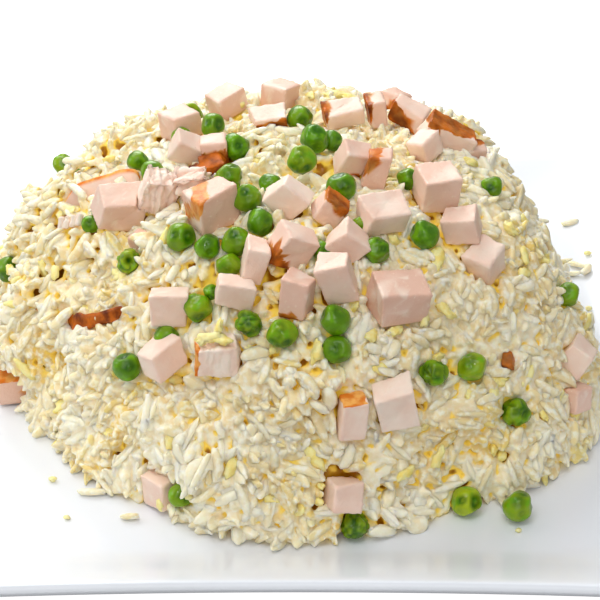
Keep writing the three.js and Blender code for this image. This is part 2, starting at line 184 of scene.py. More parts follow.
def finish(base, height=None, depth=0.1, glow=None, soft=(), coat=(), **values):
    """Joins colours and bump to the open material's shader and sets its constants. `soft` is the
    weight, radius and scale of its subsurface, `coat` the weight and roughness of its coat."""
    shader = tree.nodes["Principled BSDF"].inputs
    tree.links.new(base, shader["Base Color"])
    if glow:
        tree.links.new(glow, shader["Emission Color"])
    if height:
        bump = add("ShaderNodeBump", Height=height, Distance=depth / 1000, Strength=1.0)
        tree.links.new(bump.outputs[0], shader["Normal"])
    values.update(zip(("Subsurface_Weight", "Subsurface_Radius", "Subsurface_Scale"), soft))
    values.update(zip(("Coat_Weight", "Coat_Roughness"), coat))
    for key, value in values.items():
        shader[key.replace("_", " ")].default_value = value


BLACK, WHITE = (0, 0, 0), (255, 255, 255)
print("helpers ready")

# %% [markdown]
# ## Rice
#
# A cooked grain is cream-white, moist and slightly see-through. Between grains light bounces
# many times through oil and browned starch, and this shade is painted into the colour as amber.
# Each grain carries its own tone, from dull to light, and its yellow, from cream to oiled, and each
# point how deep it lies: from 0.5 mm it warms with painted shade, and from 2 to 3 mm it turns a
# darker painted amber. A faint golden glow, painted light which fades in the deepest gaps, stands
# in for the light that bounces about in them.

# %% Rice material
RICE = material("rice_grain", 246, 236, 206)
tone, yellow, deep = [mark(name) for name in ("tone", "yellow", "deep")]
light = mix(between(yellow, 0.35, 0.65), (251, 243, 220), (249, 235, 196))
light = mix(between(yellow, 0.7, 0.95), light, (248, 226, 150))
dull = mix(between(yellow, 0.35, 0.95), (236, 217, 170), (232, 200, 116))
grain = mix(tone, dull, light)
cloudy = mix(mottle(1.8, 0.4, 0.7), grain, (252, 244, 222))
# painted shade in the gaps: warmer from 0.1 of the deep mark, dark amber from 0.42 to 0.66
painted_gap_shade = mix(between(deep, 0.1, 0.42), cloudy, (234, 205, 90))
base = mix(between(deep, 0.42, 0.66), painted_gap_shade, (166, 108, 4))
# painted bounce light: a golden glow in the gaps, fading out in the deepest ones
glow = mix(between(deep, 0.05, 0.45), BLACK, (236, 200, 66))
glow = mix(between(deep, 0.5, 0.75), glow, BLACK)
finish(base, mottle(1.3, 0.2, 0.8, 3.0), 0.1, glow, (0.7, (1.0, 0.86, 0.6), 0.002), (0.15, 0.12),
       Roughness=0.34, Specular_IOR_Level=0.2, Emission_Strength=0.22)
print("rice material ready")

# %% [markdown]
# ## Ham, peas, egg and porcelain
#
# Cooked ham is pale pink with paler threads, and smoked rind is a thin orange-brown crust on the
# outer side of some dice; some dice are made lighter or darker as painted light and shade. A pea's
# skin is glossy, and its dents and folds take a darker green as painted shade. Egg is matt and pale
# yellow. Glazed porcelain is white and smooth with a clear coat.

# %% Ham, pea, egg and porcelain materials
HAM = material("ham_cut", 232, 200, 186)
pink = mix(mottle(8.0, 0.25, 0.75), (241, 209, 190), (249, 229, 213))
# the tone mark: a die's own tone, and for the listed dice also painted light and shade
pink = mix(mark("tone"), (226, 182, 160), pink)
threads = mix(mottle(1.2, 0.6, 0.8, 4.0), pink, (242, 219, 200))
fat = mix(mark("pale"), threads, (247, 230, 214))
brown = mix(mottle(4.5, 0.3, 0.7, 3.0), (98, 36, 2), (208, 108, 16))
orange = mix(mottle(3.0, 0.35, 0.65, 3.0), (220, 120, 30), (240, 176, 92))
crust = mix(mark("char"), orange, brown)
base = mix(between(mark("rind"), 0.15, 0.6), fat, crust)
finish(base, mottle(1.0, 0.2, 0.8, 4.0), 0.07, soft=(0.15, (1.0, 0.5, 0.35), 0.0014), coat=(0.06, 0.25),
       Roughness=0.4, Specular_IOR_Level=0.15)

PEA = material("pea_skin", 84, 146, 28)
skin = mix(mark("tone"), (76, 130, 6), (166, 186, 20))
patchy = mix(mottle(3.0, 0.45, 0.7), skin, (112, 168, 8))
# painted shade: darker green in the dents and folds
inside = mix(mark("dent"), patchy, (34, 84, 0))
base = mix(mark("split"), inside, (140, 178, 40))
finish(base, mottle(1.2, 0.3, 0.7, 3.0), 0.06, soft=(0.12, (0.5, 1.0, 0.1), 0.0012), coat=(0.4, 0.04),
       Roughness=0.3, Specular_IOR_Level=0.12)

EGG = material("egg_scrap", 246, 232, 150)
curd = mix(mottle(2.2, 0.35, 0.65, 3.0), (246, 222, 116), (251, 240, 168))
base = mix(mark("tone"), curd, (252, 240, 176))
finish(base, mottle(0.9, 0.2, 0.8, 4.0), 0.12, soft=(0.3, (1.0, 0.8, 0.3), 0.0015), Roughness=0.5)

CRUST = material("browned_bit", 140, 62, 16)
base = mix(mottle(1.3, 0.35, 0.65, 4.0), (142, 80, 18), (206, 134, 50))
finish(base, mottle(0.8, 0.2, 0.8, 4.0), 0.2, coat=(0.1, 0.2), Roughness=0.42)

PORCELAIN = material("glazed_porcelain", 238, 238, 236)
base = mix(mottle(60.0, 0.3, 0.7), (234, 238, 244), (238, 242, 249))
finish(base, mottle(14.0, 0.2, 0.8), 0.02, coat=(0.25, 0.06), Roughness=0.16, Specular_IOR_Level=0.3)
print("five finishes besides rice")

# %% [markdown]
# ## From arrays to pieces
#
# Every piece is worked out as arrays: points in millimetres and triangles as rows of point
# numbers. Most are a pole, rings of points and another pole, so one function makes their
# triangles. A piece stands at the origin with its place in its mesh, rides on the plate's one
# body, and hides the node of the frame that it replaces, the rice unless told otherwise.

# %% Mesh helpers
def closed_faces(rings, sides, copies=1):
    """Triangles of a pole, rings of points and a second pole, numbered in that order."""
    s = np.arange(sides)
    t = (s + 1) % sides
    r = np.arange(rings - 1)[:, None] * sides + 1
    a, b, c, d = [x.ravel() for x in (r + s, r + t, r + sides + t, r + sides + s)]
    last, end = (rings - 1) * sides + 1, rings * sides + 1
    one = np.concatenate([np.stack([0 * s, 1 + t, 1 + s], 1), np.stack([a, b, c], 1),
                          np.stack([a, c, d], 1), np.stack([last + s, last + t, 0 * s + end], 1)])
    return (one + (np.arange(copies) * (end + 1))[:, None, None]).reshape(-1, 3)


def ball(rings, sides):
    """Directions (cos e cos a, cos e sin a, sin e), from the lower pole to the upper one."""
    e = (np.arange(1, rings + 1) / (rings + 1) - 0.5)[:, None] * math.pi
    a = np.arange(sides)[None] / sides * 2 * math.pi
    ring = np.stack(np.broadcast_arrays(np.cos(e) * np.cos(a), np.cos(e) * np.sin(a), np.sin(e)), -1)
    return np.concatenate([[[0, 0, -1]], ring.reshape(-1, 3), [[0, 0, 1]]])


def array_mesh(name, points, faces):
    """A mesh of triangles from arrays."""
    mesh = bpy.data.meshes.new(name)
    mesh.vertices.add(len(points))
    mesh.vertices.foreach_set("co", (points / 1000).ravel())
    mesh.loops.add(faces.size)
    mesh.loops.foreach_set("vertex_index", faces.astype(np.int32).ravel())
    mesh.polygons.add(len(faces))
    mesh.polygons.foreach_set("loop_start", np.arange(0, faces.size, 3, dtype=np.int32))
    mesh.update(calc_edges=True)
    return mesh


def placed(name, data):
    """A new object in the scene."""
    new = bpy.data.objects.new(name, data)
    bpy.context.collection.objects.link(new)
    return new


def piece(name, points, faces, look, slot, nodes=("rice",), **marks):
    """A smooth-shaded object, with a value at each point per mark."""
    mesh = array_mesh(name, np.reshape(np.asarray(points, float), (-1, 3)), faces)
    mesh.shade_smooth()
    for key, value in marks.items():
        layer = mesh.attributes.new(key, "FLOAT", "POINT")
        layer.data.foreach_set("value", np.ravel(value).astype(np.float32))
    mesh.materials.append(look)
    new = placed(name, mesh)
    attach(new, "root")
    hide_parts(*nodes)


def merged(parts):
    """Joins rows of (points, triangles, mark, ...) into one such row."""
    starts = np.cumsum([0] + [len(part[0]) for part in parts[:-1]])
    points, _, *marks = [np.concatenate(column) for column in zip(*parts)]
    return points, np.concatenate([part[1] + start for part, start in zip(parts, starts)]), *marks


def read(items, kind, key):
    """Three numbers of this kind from each item of a mesh."""
    values = np.empty(len(items) * 3, kind)
    items.foreach_get(key, values)
    return values.reshape(-1, 3)


def box_mm(name):
    """The lower and the upper corner of a node."""
    return [np.array(corner) * 1000 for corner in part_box(name)]


def node_mesh(name):
    """A node's points in millimetres and its triangles, with points at one place joined."""
    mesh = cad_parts[name].data
    points = read(mesh.vertices, float, "co")
    mesh.calc_loop_triangles()
    faces = read(mesh.loop_triangles, np.int32, "vertices")
    keys, back = np.unique(np.round(points * 1e6).astype(np.int64), axis=0, return_inverse=True)
    faces = back.ravel()[faces]
    same = (faces == np.roll(faces, 1, 1)).any(1)
    return keys / 1000, faces[~same]


print("a ball of 6 rings and 8 sides has", len(closed_faces(6, 8)), "triangles")

# %% [markdown]
# ## The plate
#
# The plate is square with rounded corners and sides that bow in a little. Its section runs from
# the lip over the rim to the well, and back underneath to a foot ring, as a spline. One formula
# gives a rounded square for each point of it.

# %% Plate
PLATE_HALF, PLATE_BOW, PLATE_CORNER = 123.5, 3.0, 27.0
RIM_WIDTH, WELL_CORNER, WELL_TOP, WELL_BOTTOM = 28.0, 30.0, 8.0, 3.4
SECTION_TOP = [(0.0, 15.0), (0.7, 16.2), (2.2, 16.6), (9.0, 14.0), (18.0, 10.3), (24.0, 8.4),
               (RIM_WIDTH, WELL_TOP)]  # inset from the lip, height
SECTION_UNDER = [(46.0, WELL_BOTTOM), (43.0, 3.0), (42.4, 0.0), (37.6, 0.0), (37.0, 3.2), (26.0, 4.2),
                 (12.0, 9.0), (2.4, 13.0), (0.5, 13.6), (0.0, 15.0)]


def catmull_rom(a, b, c, d, t):
    """0.5 * (2b + (c-a)t + (2a-5b+4c-d)t^2 + (3b-a-3c+d)t^3), from b at t = 0 to c at t = 1."""
    return 0.5 * (2 * b + (c - a) * t + (2 * a - 5 * b + 4 * c - d) * t ** 2
                  + (3 * b - a - 3 * c + d) * t ** 3)


def spline(points, steps):
    """A Catmull-Rom curve through the points, with this many steps between two of them."""
    q = np.array([points[0], *points, points[-1]], float)
    t = (np.arange(steps) / steps)[None, :, None]
    curve = catmull_rom(*[q[i:len(q) - 3 + i][:, None] for i in range(4)], t)
    return np.concatenate([curve.reshape(-1, q.shape[1]), q[-1:]])


def plate_rings(section, side_steps=24, corner_steps=12):
    """Rounded squares: reach = half - inset, sides at reach + bow * s * s for s from -1 to 1,
    corners on a circle that grows from 27 to 30 mm towards the well."""
    inset, height = section[:, :1], section[:, 1:]
    share = np.clip(inset / RIM_WIDTH, 0, 1)
    radius = PLATE_CORNER + (WELL_CORNER - PLATE_CORNER) * share
    bow = PLATE_BOW * (1 - share)
    reach = PLATE_HALF - inset
    straight = reach + bow - radius
    s = (-1 + 2 * np.arange(side_steps) / side_steps)[None]
    a = (np.arange(corner_steps) / corner_steps * math.pi / 2)[None]
    along = np.concatenate([s * straight, straight + radius * np.sin(a)], 1)
    out = np.concatenate([reach + bow * s * s, reach + bow - radius + radius * np.cos(a)], 1)
    quarter = [np.stack([along * c + out * n, along * n - out * c, height + 0 * out], -1)
               for c, n in ((1, 0), (0, 1), (-1, 0), (0, -1))]
    return np.concatenate(quarter, 1)


over = np.concatenate([spline(SECTION_TOP, 5), [(60.0, WELL_TOP), (95.0, WELL_TOP)]])
under = np.concatenate([[(95.0, WELL_BOTTOM), (70.0, WELL_BOTTOM)], spline(SECTION_UNDER, 3)[:-1].clip(0)])
rings = plate_rings(np.concatenate([under, over]))
plate_points = np.concatenate([[[0, 0, WELL_BOTTOM]], rings.reshape(-1, 3), [[0, 0, WELL_TOP]]])
plate_faces = closed_faces(rings.shape[0], rings.shape[1])
piece("plate_glazed", plate_points, plate_faces, PORCELAIN, "glazed_porcelain", ["plate"])
print("plate:", len(plate_faces), "triangles")


def plate_height(x, y):
    """Height of the plate's upper side: the section read at the inset of the nearest side."""
    inset = PLATE_HALF - np.maximum(np.abs(x), np.abs(y))
    table = np.array(SECTION_TOP)
    return np.interp(inset, table[:, 0], table[:, 1])


# %% [markdown]
# ## The heap's form
#
# The heap is a dome whose foot and fullness change with direction, as in the frame:
# F = (r / foot)^full + (h / 77.5)^(1 / 0.68) - 1 is 0 on its surface. F divided by the length of
# its gradient is nearly the distance to the surface, and the gradient points straight out.
# Noise then adds the frame's clumps and some smaller ones.

# %% Heap form
HEAP_HEIGHT, HEAP_FULL, HEAP_FULLER, HEAP_EASE = 77.5, 3.0, 0.45, 0.68
FOOT = np.array([93, 91, 91, 92, 100, 108.5, 101, 87, 91, 96.5, 93.5, 98.5])


def foot_radius(angle):
    """Catmull-Rom through a radius every 30 degrees, from +X round by +Y."""
    t = np.mod(angle / (2 * math.pi), 1) * 12
    i = np.floor(t).astype(int)
    return catmull_rom(*[FOOT[(i + k) % 12] for k in (-1, 0, 1, 2)], t - i)


def full(angle):
    """The power of the dome's outline, fuller towards +X."""
    return HEAP_FULL + HEAP_FULLER * np.cos(angle)


def dome_height(x, y):
    """WELL_TOP + 77.5 * (1 - (r / foot)^full)^0.68"""
    angle = np.arctan2(y, x)
    share = np.clip(np.hypot(x, y) / foot_radius(angle), 0, 1)
    return WELL_TOP + HEAP_HEIGHT * (1 - share ** full(angle)) ** HEAP_EASE


def on_dome(x, y, lift=0.0):
    """The point over (x, y) that lies `lift` over the dome."""
    return np.stack([x, y, dome_height(x, y) + lift], -1)


def form(p):
    """F of the heap, below 0 inside it."""
    angle = np.arctan2(p[..., 1], p[..., 0])
    share = np.hypot(p[..., 0], p[..., 1]) / foot_radius(angle)
    up = np.maximum((p[..., 2] - WELL_TOP) / HEAP_HEIGHT, 0)
    return share ** full(angle) + up ** (1 / HEAP_EASE) - 1


def above_foot(p):
    """0 on the plate's well, 1 from 8 mm above it."""
    return np.clip((p[..., 2] - WELL_TOP) / 8, 0, 1)


def bell(p, middle, reach):
    """exp(-(d / reach)^2) for the distance d from the middle."""
    return np.exp(-((p - middle) ** 2).sum(-1) / reach ** 2)


LUMPS = [(-84, 14, 58, 17, 6.0), (84, 8, 44, 26, -8.0), (-53, 21, 73, 9, 3.5)]  # x, y, z, reach, height


def clumps(p):
    """The frame's clumps, 2.6 mm high and 21 mm wide, and its lumps, height * bell."""
    lift = 2.6 * (noise(p / 21, 11) + 0.5 * noise(p * 2.2 / 21, 12)) - 0.4
    for x, y, z, reach, height in LUMPS:
        lift = lift + height * bell(p, [x, y, z], reach)
    return lift * above_foot(p)


def clear_of_toppings(p):
    """Distance to the nearest topping, each taken as a ball."""
    room = np.full(p.shape[:-1], 99.0)
    for middle, radius in ROUND:
        room = np.minimum(room, far(p, middle) - radius)
    return room


def relief(p):
    """Hollows and clusters 20, 12 and 7 mm wide that the frame leaves out, calm within a few
    millimetres of a topping so that none is buried, less the 8 mm dips in front of three."""
    room = clear_of_toppings(p)
    lift = 2.4 * noise(p / 20, 35) + 3.8 * noise(p / 12, 33) + 2.0 * noise(p / 7, 31)
    lift = lift * (0.15 + 0.85 * ramp(room, 0.5, 6))
    for middle, reach in DIPS:
        lift = lift - 8 * bell(p, middle, reach)
    return lift * above_foot(p)


def off_surface(p):
    """Distance outside the surface, F / |gradient| - clumps - relief, and the way outwards."""
    step = 0.5 * np.eye(3)
    slope = np.stack([form(p + e) - form(p - e) for e in step], -1)
    steep = np.linalg.norm(slope, axis=-1)
    distance = form(p) / np.maximum(steep, 1e-6) - clumps(p) - relief(p)
    return distance, slope / np.maximum(steep, 1e-9)[..., None]


def flank(count, seed):
    """Points spread evenly over the bare dome: each share of the foot radius is as likely as
    its ring's area, 2 pi r ds."""
    chance = np.random.default_rng(seed)
    t = np.sin(np.linspace(0, 1, 600) * math.pi / 2)
    z = HEAP_HEIGHT * (1 - t ** HEAP_FULL) ** HEAP_EASE
    area = np.concatenate([[0], np.cumsum(np.hypot(np.diff(t) * 95, np.diff(z)) * (t[1:] + t[:-1]) / 2)])
    share = np.interp(chance.random(count) * area[-1], area, t)
    angle = chance.random(count) * 2 * math.pi
    r = share * foot_radius(angle)
    return on_dome(r * np.cos(angle), r * np.sin(angle))


print("top of the dome:", dome_height(0.0, 0.0), "mm; lowest foot radius:", FOOT.min())

# %% [markdown]
# ## Where the toppings are
#
# The dice and peas of the frame are read from their nodes. A few more are mostly buried, bumps
# on the frame's rice that become real here, and some still smaller peas show between grains.
# All of them keep the rice away.

# %% Buried dice and small peas
BURIED_HAM = [  # x, y, height over the dome, size, here and in the next two tables
    (-25.5, -5, 1.5, 8.0), (30, 38, 1.5, 8.0), (53, 8, 1.0, 7.0), (37.5, -1.5, 1.0, 8.0),
    (52.5, -44, 0.5, 10.0), (12.5, -92.5, 0.5, 9.0), (81, -49.5, 0.5, 8.0), (-56, -3, 1.5, 9.0),
    (-26, 75, 1.0, 9.0), (24, 78, 1.0, 9.5), (58, 60, 1.0, 9.0), (-48, 72, 1.0, 9.0),
]
BURIED_PEAS = [
    (-34, 27.5, 0.0, 8.0), (-19, -4, 1.0, 8.5), (-11.5, -42, 1.0, 8.0), (-20, -53, 1.0, 7.5),
    (-28.5, -60, 1.0, 8.5), (0, 13, 1.5, 8.0), (61.5, -66, 0.5, 8.5), (10, -74.5, 0.5, 8.0),
    (-92.5, 7, 1.0, 8.0), (-4, 66, 1.0, 8.5), (-46, 60, 1.0, 8.5), (42, 70, 1.0, 8.5),
    (4, 84, 1.0, 8.5), (74, 40, 1.0, 8.5),
]
# the amber in these holes is painted shade
PITS = np.array([  # deep amber holes in the front of the heap
    (42.2, -66.5, 52.0), (45.0, -54.6, 64.1), (-50.4, -65.8, 33.3), (-22.1, -83.6, 36.1),
    (-1.1, -89.4, 34.8), (32.0, -84.4, 27.2), (45.7, -80.0, 18.1)])
SMALL_PEAS = [  # glimpsed between the grains
    (-49, 1.5, 1.0, 6.5), (-36, 8.5, 0.5, 6.5), (-44, -7.5, 1.0, 7.0), (31, -21.5, 0.5, 6.5),
    (57, -11, 0.5, 6.5), (6.5, -52.5, 0.5, 6.5), (9.5, -1, 0.5, 6.5), (17, -43, 0.5, 6.0),
    (-8.5, -26, 0.5, 7.0), (-37.5, -61.5, 0.5, 7.0), (-33.5, -85, 0.5, 7.0), (-62.5, -15, 1.0, 5.5),
    (-25, -57.5, 0.5, 4.5),
]


def seeded(seed):
    """The frame's own generator of random numbers, so that buried dice turn the same way."""
    state, whole = seed, 0xFFFFFFFF

    def draw():
        nonlocal state
        state = (state + 0x6D2B79F5) & whole
        t = (state ^ (state >> 15)) * (state | 1) & whole
        t = t ^ (t + ((t ^ (t >> 7)) * (t | 61) & whole)) & whole
        return ((t ^ (t >> 14)) & whole) / 4294967296

    return draw


def turn(yaw, pitch, roll):
    """Ry(roll) Rx(pitch) Rz(yaw), in degrees: each puts cos, -sin, sin, cos at (i, j)."""
    whole = np.eye(3)
    for i, j, degrees in ((2, 0, roll), (1, 2, pitch), (0, 1, yaw)):
        c, s, one = math.cos(math.radians(degrees)), math.sin(math.radians(degrees)), np.eye(3)
        one[[i, i, j, j], [i, j, i, j]] = c, -s, s, c
        whole = whole @ one
    return whole


BOX_FACES = np.array([[0, 2, 3], [0, 3, 1], [4, 5, 7], [4, 7, 6], [0, 1, 5], [0, 5, 4],
                      [2, 6, 7], [2, 7, 3], [0, 4, 6], [0, 6, 2], [1, 3, 7], [1, 7, 5]])


def uneven_box(size, draw, amount=0.09):
    """Eight corners at +-size / 2, each moved by up to amount * size."""
    corner = np.array([[c & 1, c >> 1 & 1, c >> 2 & 1] for c in range(8)]) - 0.5
    shift = np.array([[(draw() - 0.5) * 2 for _ in range(3)] for _ in range(8)])
    return (corner + shift * amount) * np.array(size)


def buried_die(index, x, y, lift, size):
    """A die turned as in the frame, its middle `lift` over the dome."""
    draw = seeded(900 + index)
    box = uneven_box((size, size * 0.9, size * 0.95), draw)
    draw()
    return box @ turn(draw() * 90, draw() * 40 - 20, draw() * 60 - 30).T + on_dome(x, y, lift), BOX_FACES


CURVED = 7  # the row that is the curved slice below
dice = {name: node_mesh(name) for name in NODES if name.startswith("ham")}
buried = {f"buried_{i + 1:02d}": buried_die(i, *row) for i, row in enumerate(BURIED_HAM) if i != CURVED}
boxes = {name: box_mm(name) for name in NODES if name.startswith("pea")}
peas = {name: ((low + high) / 2, (high - low) / 2) for name, (low, high) in boxes.items()}
small_peas = {f"small_{i + 1:02d}": (on_dome(x, y, lift), np.full(3, size / 2))
              for i, (x, y, lift, size) in enumerate(BURIED_PEAS + SMALL_PEAS)}
small_peas["half_01"] = (peas["pea_01"][0] + [4.8, -0.5, -1.6], np.array([2.0, 2.4, 2.9]))
DIPS = [(peas["pea_01"][0] + (0, -5, 0), 10.5),  # middle and reach
        (dice["ham_32"][0].mean(0) + (-2, -3, 0), 10.0), (dice["ham_34"][0].mean(0) + (5, -8, 0), 10.0)]
HAM_BLOCKS = [*dice.values(), *buried.values()]
PEA_BALLS = [(m, h.mean()) for m, h in [*peas.values(), *small_peas.values()]]
ROUND = [((p.min(0) + p.max(0)) / 2, np.ptp(p, axis=0).mean() * 0.5) for p, _ in HAM_BLOCKS] + PEA_BALLS
print(len(dice), "dice,", len(buried), "buried,", len(peas), "peas,", len(small_peas), "small peas")

# %% [markdown]
# ## Ham
#
# A die is cut with a knife: flat sides, edges hardly rounded, and here and there a thread torn
# out. Its solid is remeshed into small even squares, then roughened by noise. Rind sits on the
# side that was the outside of the joint, so a direction and a depth say where it is. Three
# pieces are pulled apart instead of cut, and get lobes and ledges along the grain.

# %% Ham dice
RIND = [  # die, direction of the rind, where it starts (1 = far side), how dark (-1 ends it)
    ("ham_03", (0.6, -0.5, -0.7), 0.86, 0.8), ("ham_05", (1.0, -0.3, -0.5), 0.8, 0.6),
    ("ham_06", (-0.85, -0.1, 0.5), 0.42, 0.3), ("ham_06", (-0.85, -0.1, 0.5), 0.74, -1),
    ("ham_08", (0.2, -0.8, -0.6), 0.72, 0.9), ("ham_09", (-1.0, 0.0, 0.1), 0.66, 1.0),
    ("ham_10", (-1.0, -0.2, 0.0), 0.52, 1.0), ("ham_11", (-0.9, -0.4, -0.4), 0.38, 0.9),
    ("ham_12", (0.35, 0.2, 1.0), 0.3, 0.8), ("ham_14", (0.2, -0.6, -0.9), 0.75, 0.9),
    ("ham_15", (-0.8, 0.0, 0.7), 0.5, 0.7), ("ham_17", (0.8, 0.0, 0.7), 0.45, 0.8),
    ("ham_20", (-0.8, -0.55, -0.35), 0.54, 0.9), ("ham_24", (-0.5, -0.5, -1.0), 0.8, 0.7),
    ("ham_28", (-1.0, -0.2, 0.1), 0.84, 0.2), ("ham_30", (-0.2, 0.1, 1.0), 0.88, 0.0),
    ("ham_34", (0.0, 0.0, 1.0), 0.86, 0.3), ("ham_34", (1.0, 0.0, 0.1), 0.84, 0.2),
    ("buried_01", (0.1, -0.6, -0.6), 0.3, 1.0), ("buried_02", (0.0, -0.6, -0.6), 0.3, 1.0),
    ("buried_03", (0.0, 0.2, 1.0), 0.5, 1.0),
]
# each die's tone: random for most, but for these dice set lighter or darker to match how light falls on
# them, so partly painted light and shade
HAM_TONE_AND_SHADE = {"ham_02": 0.3, "ham_06": 0.15, "ham_13": 0.5, "ham_16": 1.0, "ham_25": 0.15, "ham_26": 0.75,
            "ham_31": 1.0, "ham_32": 0.8, "ham_33": 0.9, "ham_23": 0.6}
TORN = {"ham_04": (0.1, 0.3, 1.0), "ham_05": (0.9, 0.1, 0.5), "ham_28": (0.1, 0.0, 1.0)}
TEAR = {"ham_28": 0.3}  # how deep, where not 1


def remeshed(points, faces, size, rounds, keep=1.0):
    """A voxel remesh, rounds of smoothing, and a share of the triangles kept where the form
    bends most, as arrays: points, their normals, triangles."""
    work = placed("work", array_mesh("work", points, faces))
    grid = work.modifiers.new("grid", "REMESH")
    grid.mode, grid.voxel_size = "VOXEL", size / 1000
    soft = work.modifiers.new("soft", "SMOOTH")
    soft.factor, soft.iterations = 0.5, rounds
    if keep < 1:
        work.modifiers.new("fewer", "DECIMATE").ratio = keep
    done = work.evaluated_get(bpy.context.evaluated_depsgraph_get()).to_mesh()
    done.calc_loop_triangles()
    arrays = (read(done.vertices, float, "co") * 1000, read(done.vertex_normals, float, "vector"),
              read(done.loop_triangles, np.int32, "vertices"))
    mesh = work.data
    bpy.data.objects.remove(work)
    bpy.data.meshes.remove(mesh)
    return arrays


def torn_push(name, q, grain, seed):
    """TEAR (0.9 ledge + 1.9 |noise|^0.5 + 0.9 |finer noise|^0.5 - 1.9), with q stretched along
    the grain and a ledge every 2.3 mm across it. Returns the coarse |noise|^0.5 too."""
    q = q - 0.68 * (q @ grain)[:, None] * grain
    lobe = np.sqrt(np.abs(noise(q / (3.4 if name == "ham_04" else 2.4), seed + 3)))
    fine = np.sqrt(np.abs(noise(q / 1.5, seed + 4)))
    across = unit(np.cross(grain, (0.4, -0.8, 0.3)))
    ledge = np.mod(q @ across / 2.3 + 0.7 * noise(q / 3.2, seed + 6), 1.0) - 0.5
    return TEAR.get(name, 1.0) * (0.9 * ledge + 1.9 * lobe + 0.9 * fine - 1.9), lobe


def ham_surface(name, points, faces, size):
    """Remeshed form + normal * (0.14 noise(p / 2.6) + 0.05 noise(p / 1.1)), rougher where torn
    or on the rind. Returns points, triangles, rind, pale, char and tone."""
    seed = sum(map(ord, name))
    p, normal, tri = remeshed(points, faces, size, 2, 0.4 if size > FINE else 1.0)
    middle = (p.min(0) + p.max(0)) / 2
    push = 0.14 * noise(p / 2.6, seed) + 0.05 * noise(p / 1.1, seed + 1)
    pale = ramp(noise(p / 3.2, seed + 2), 0.35, 0.7) * 0.6
    if name in TORN:
        tear, lobe = torn_push(name, p - middle, unit(np.array(TORN[name])), seed)
        push, pale = push + tear, np.clip(pale + ramp(lobe, 0.4, 0.8) * 0.9, 0, 1)
    rind, char = np.zeros(len(p)), np.zeros(len(p))
    for _, direction, start, dark in [row for row in RIND if row[0] == name]:
        along = (p - middle) @ unit(np.array(direction))
        edge = along / along.max() + 0.09 * noise(p / 1.8, seed + 5)
        here = ramp(edge, start - 0.03, start + 0.05)
        if dark < 0:
            rind = rind * (1 - here)
        else:
            rind, char = np.maximum(rind, here), np.maximum(char, here * dark)
    push = push + 0.18 * rind * noise(p / 1.4, seed + 6)
    tone = HAM_TONE_AND_SHADE.get(name, 0.55 + 0.35 * math.sin(seed))
    return p + normal * push[:, None], tri, rind, pale, char, np.full(len(p), tone)


def ham_piece(name, points, faces, *marks, nodes=("rice",)):
    piece(name, points, faces, HAM, "ham", nodes, **dict(zip(("rind", "pale", "char", "tone"), marks)))
    print(name, len(faces), "triangles")


FINE, CUT, ROUGH = 0.42, 0.48, 0.7  # sizes of the squares: torn, cut, buried
for name, solid in dice.items():
    ham_piece(name + "_cut", *ham_surface(name, *solid, FINE if name in TORN else CUT), nodes=[name])
ham_piece("ham_buried", *merged([ham_surface(name, *solid, ROUGH) for name, solid in buried.items()]))

# %% [markdown]
# ## Rind, a curved slice and shreds
#
# Some bits of ham are strips, a flattened ring of points carried along a path: a flake of dark
# rind on the left, a curved slice with an orange edge behind the largest piece, and a comb of
# pale shreds beside it. A few chips are dice again.

# %% Strips of ham
def strip(path, out, up, tall, thick, seed, wave, steps=30, sides=14):
    """Point = path(u) + up tall |cos a|^0.7 + out thick |sin a|^0.7, with the signs of cos and
    sin, tapered by (1 - |2u - 1|^6)^0.5 and pushed by noise in bands across the path. Returns
    the signed |cos a|^0.7 of each point too, 1 on the upper edge."""
    curve = spline(path, 12)
    u = np.linspace(0, 1, steps)
    middle = np.stack([np.interp(u, np.linspace(0, 1, len(curve)), curve[:, k]) for k in range(3)], -1)
    a = np.arange(sides) / sides * 2 * math.pi
    wide, deep = [np.sign(w) * np.abs(w) ** 0.7 for w in (np.cos(a), np.sin(a))]
    taper = np.sqrt(1 - np.abs(2 * u - 1) ** 6).clip(0.25)[:, None]
    place = np.stack(np.broadcast_arrays(u[:, None] * steps / 3, 0.4 * wide[None] + seed, 0.5), -1)
    band = wave * noise(place, seed)
    ring = (middle[:, None] + unit(np.array(up)) * (wide * tall * taper * (1 + band))[..., None]
            + unit(np.array(out)) * (deep * thick * taper + 0.8 * band)[..., None])
    points = np.concatenate([ring[0].mean(0)[None], ring.reshape(-1, 3), ring[-1].mean(0)[None]])
    return points, closed_faces(steps, sides), np.concatenate([[0], np.tile(wide, steps), [0]])


FLAKE_PATH = [(-70.3, -32.3, 44.0), (-66.3, -37.3, 44.8), (-61.3, -41.6, 47.6), (-56.3, -45.3, 51.6),
              (-51.0, -48.2, 55.0)]
SLICE_PATH = [(-72.5, -2.5, 59.5), (-68.8, 1.5, 63.8), (-62.5, 0.2, 67.8), (-55.9, -3.4, 71.8),
              (-48.0, -6.6, 75.6)]
SHREDS = np.array([(-72.3, -6.4, 61.2), (-70.3, -8.4, 62.4), (-68.2, -10.0, 63.8), (-66.2, -11.4, 65.0)])
p, tri, across = strip(FLAKE_PATH, (-0.7, -0.6, 0.3), (0.25, 0.15, 1.0), 2.8, 0.9, 3, 0.5)
one = np.ones(len(p))
ham_piece("ham_flake", p, tri, one, 0 * one, one, one)
p, tri, across = strip(SLICE_PATH, (-0.5, -0.6, 0.6), (0.1, 0.4, 1.0), 4.8, 1.7, 4, 0.12)
edge = ramp(across, 0.55, 0.9)
ham_piece("ham_slice", p, tri, edge, 0 * edge, 0.1 * edge, 0 * edge + 0.6)
p, tri, _ = merged([strip([at + [0.4, 0.3, 1.9], at + [0.1, 0, 0], at + [-0.5, -0.6, -2.1]],
                          (-0.6, -0.6, 0.5), (0.6, -0.6, 0.4), 1.25, 1.1, 5 + k, 0.45, 12, 8)
                    for k, at in enumerate(SHREDS)])
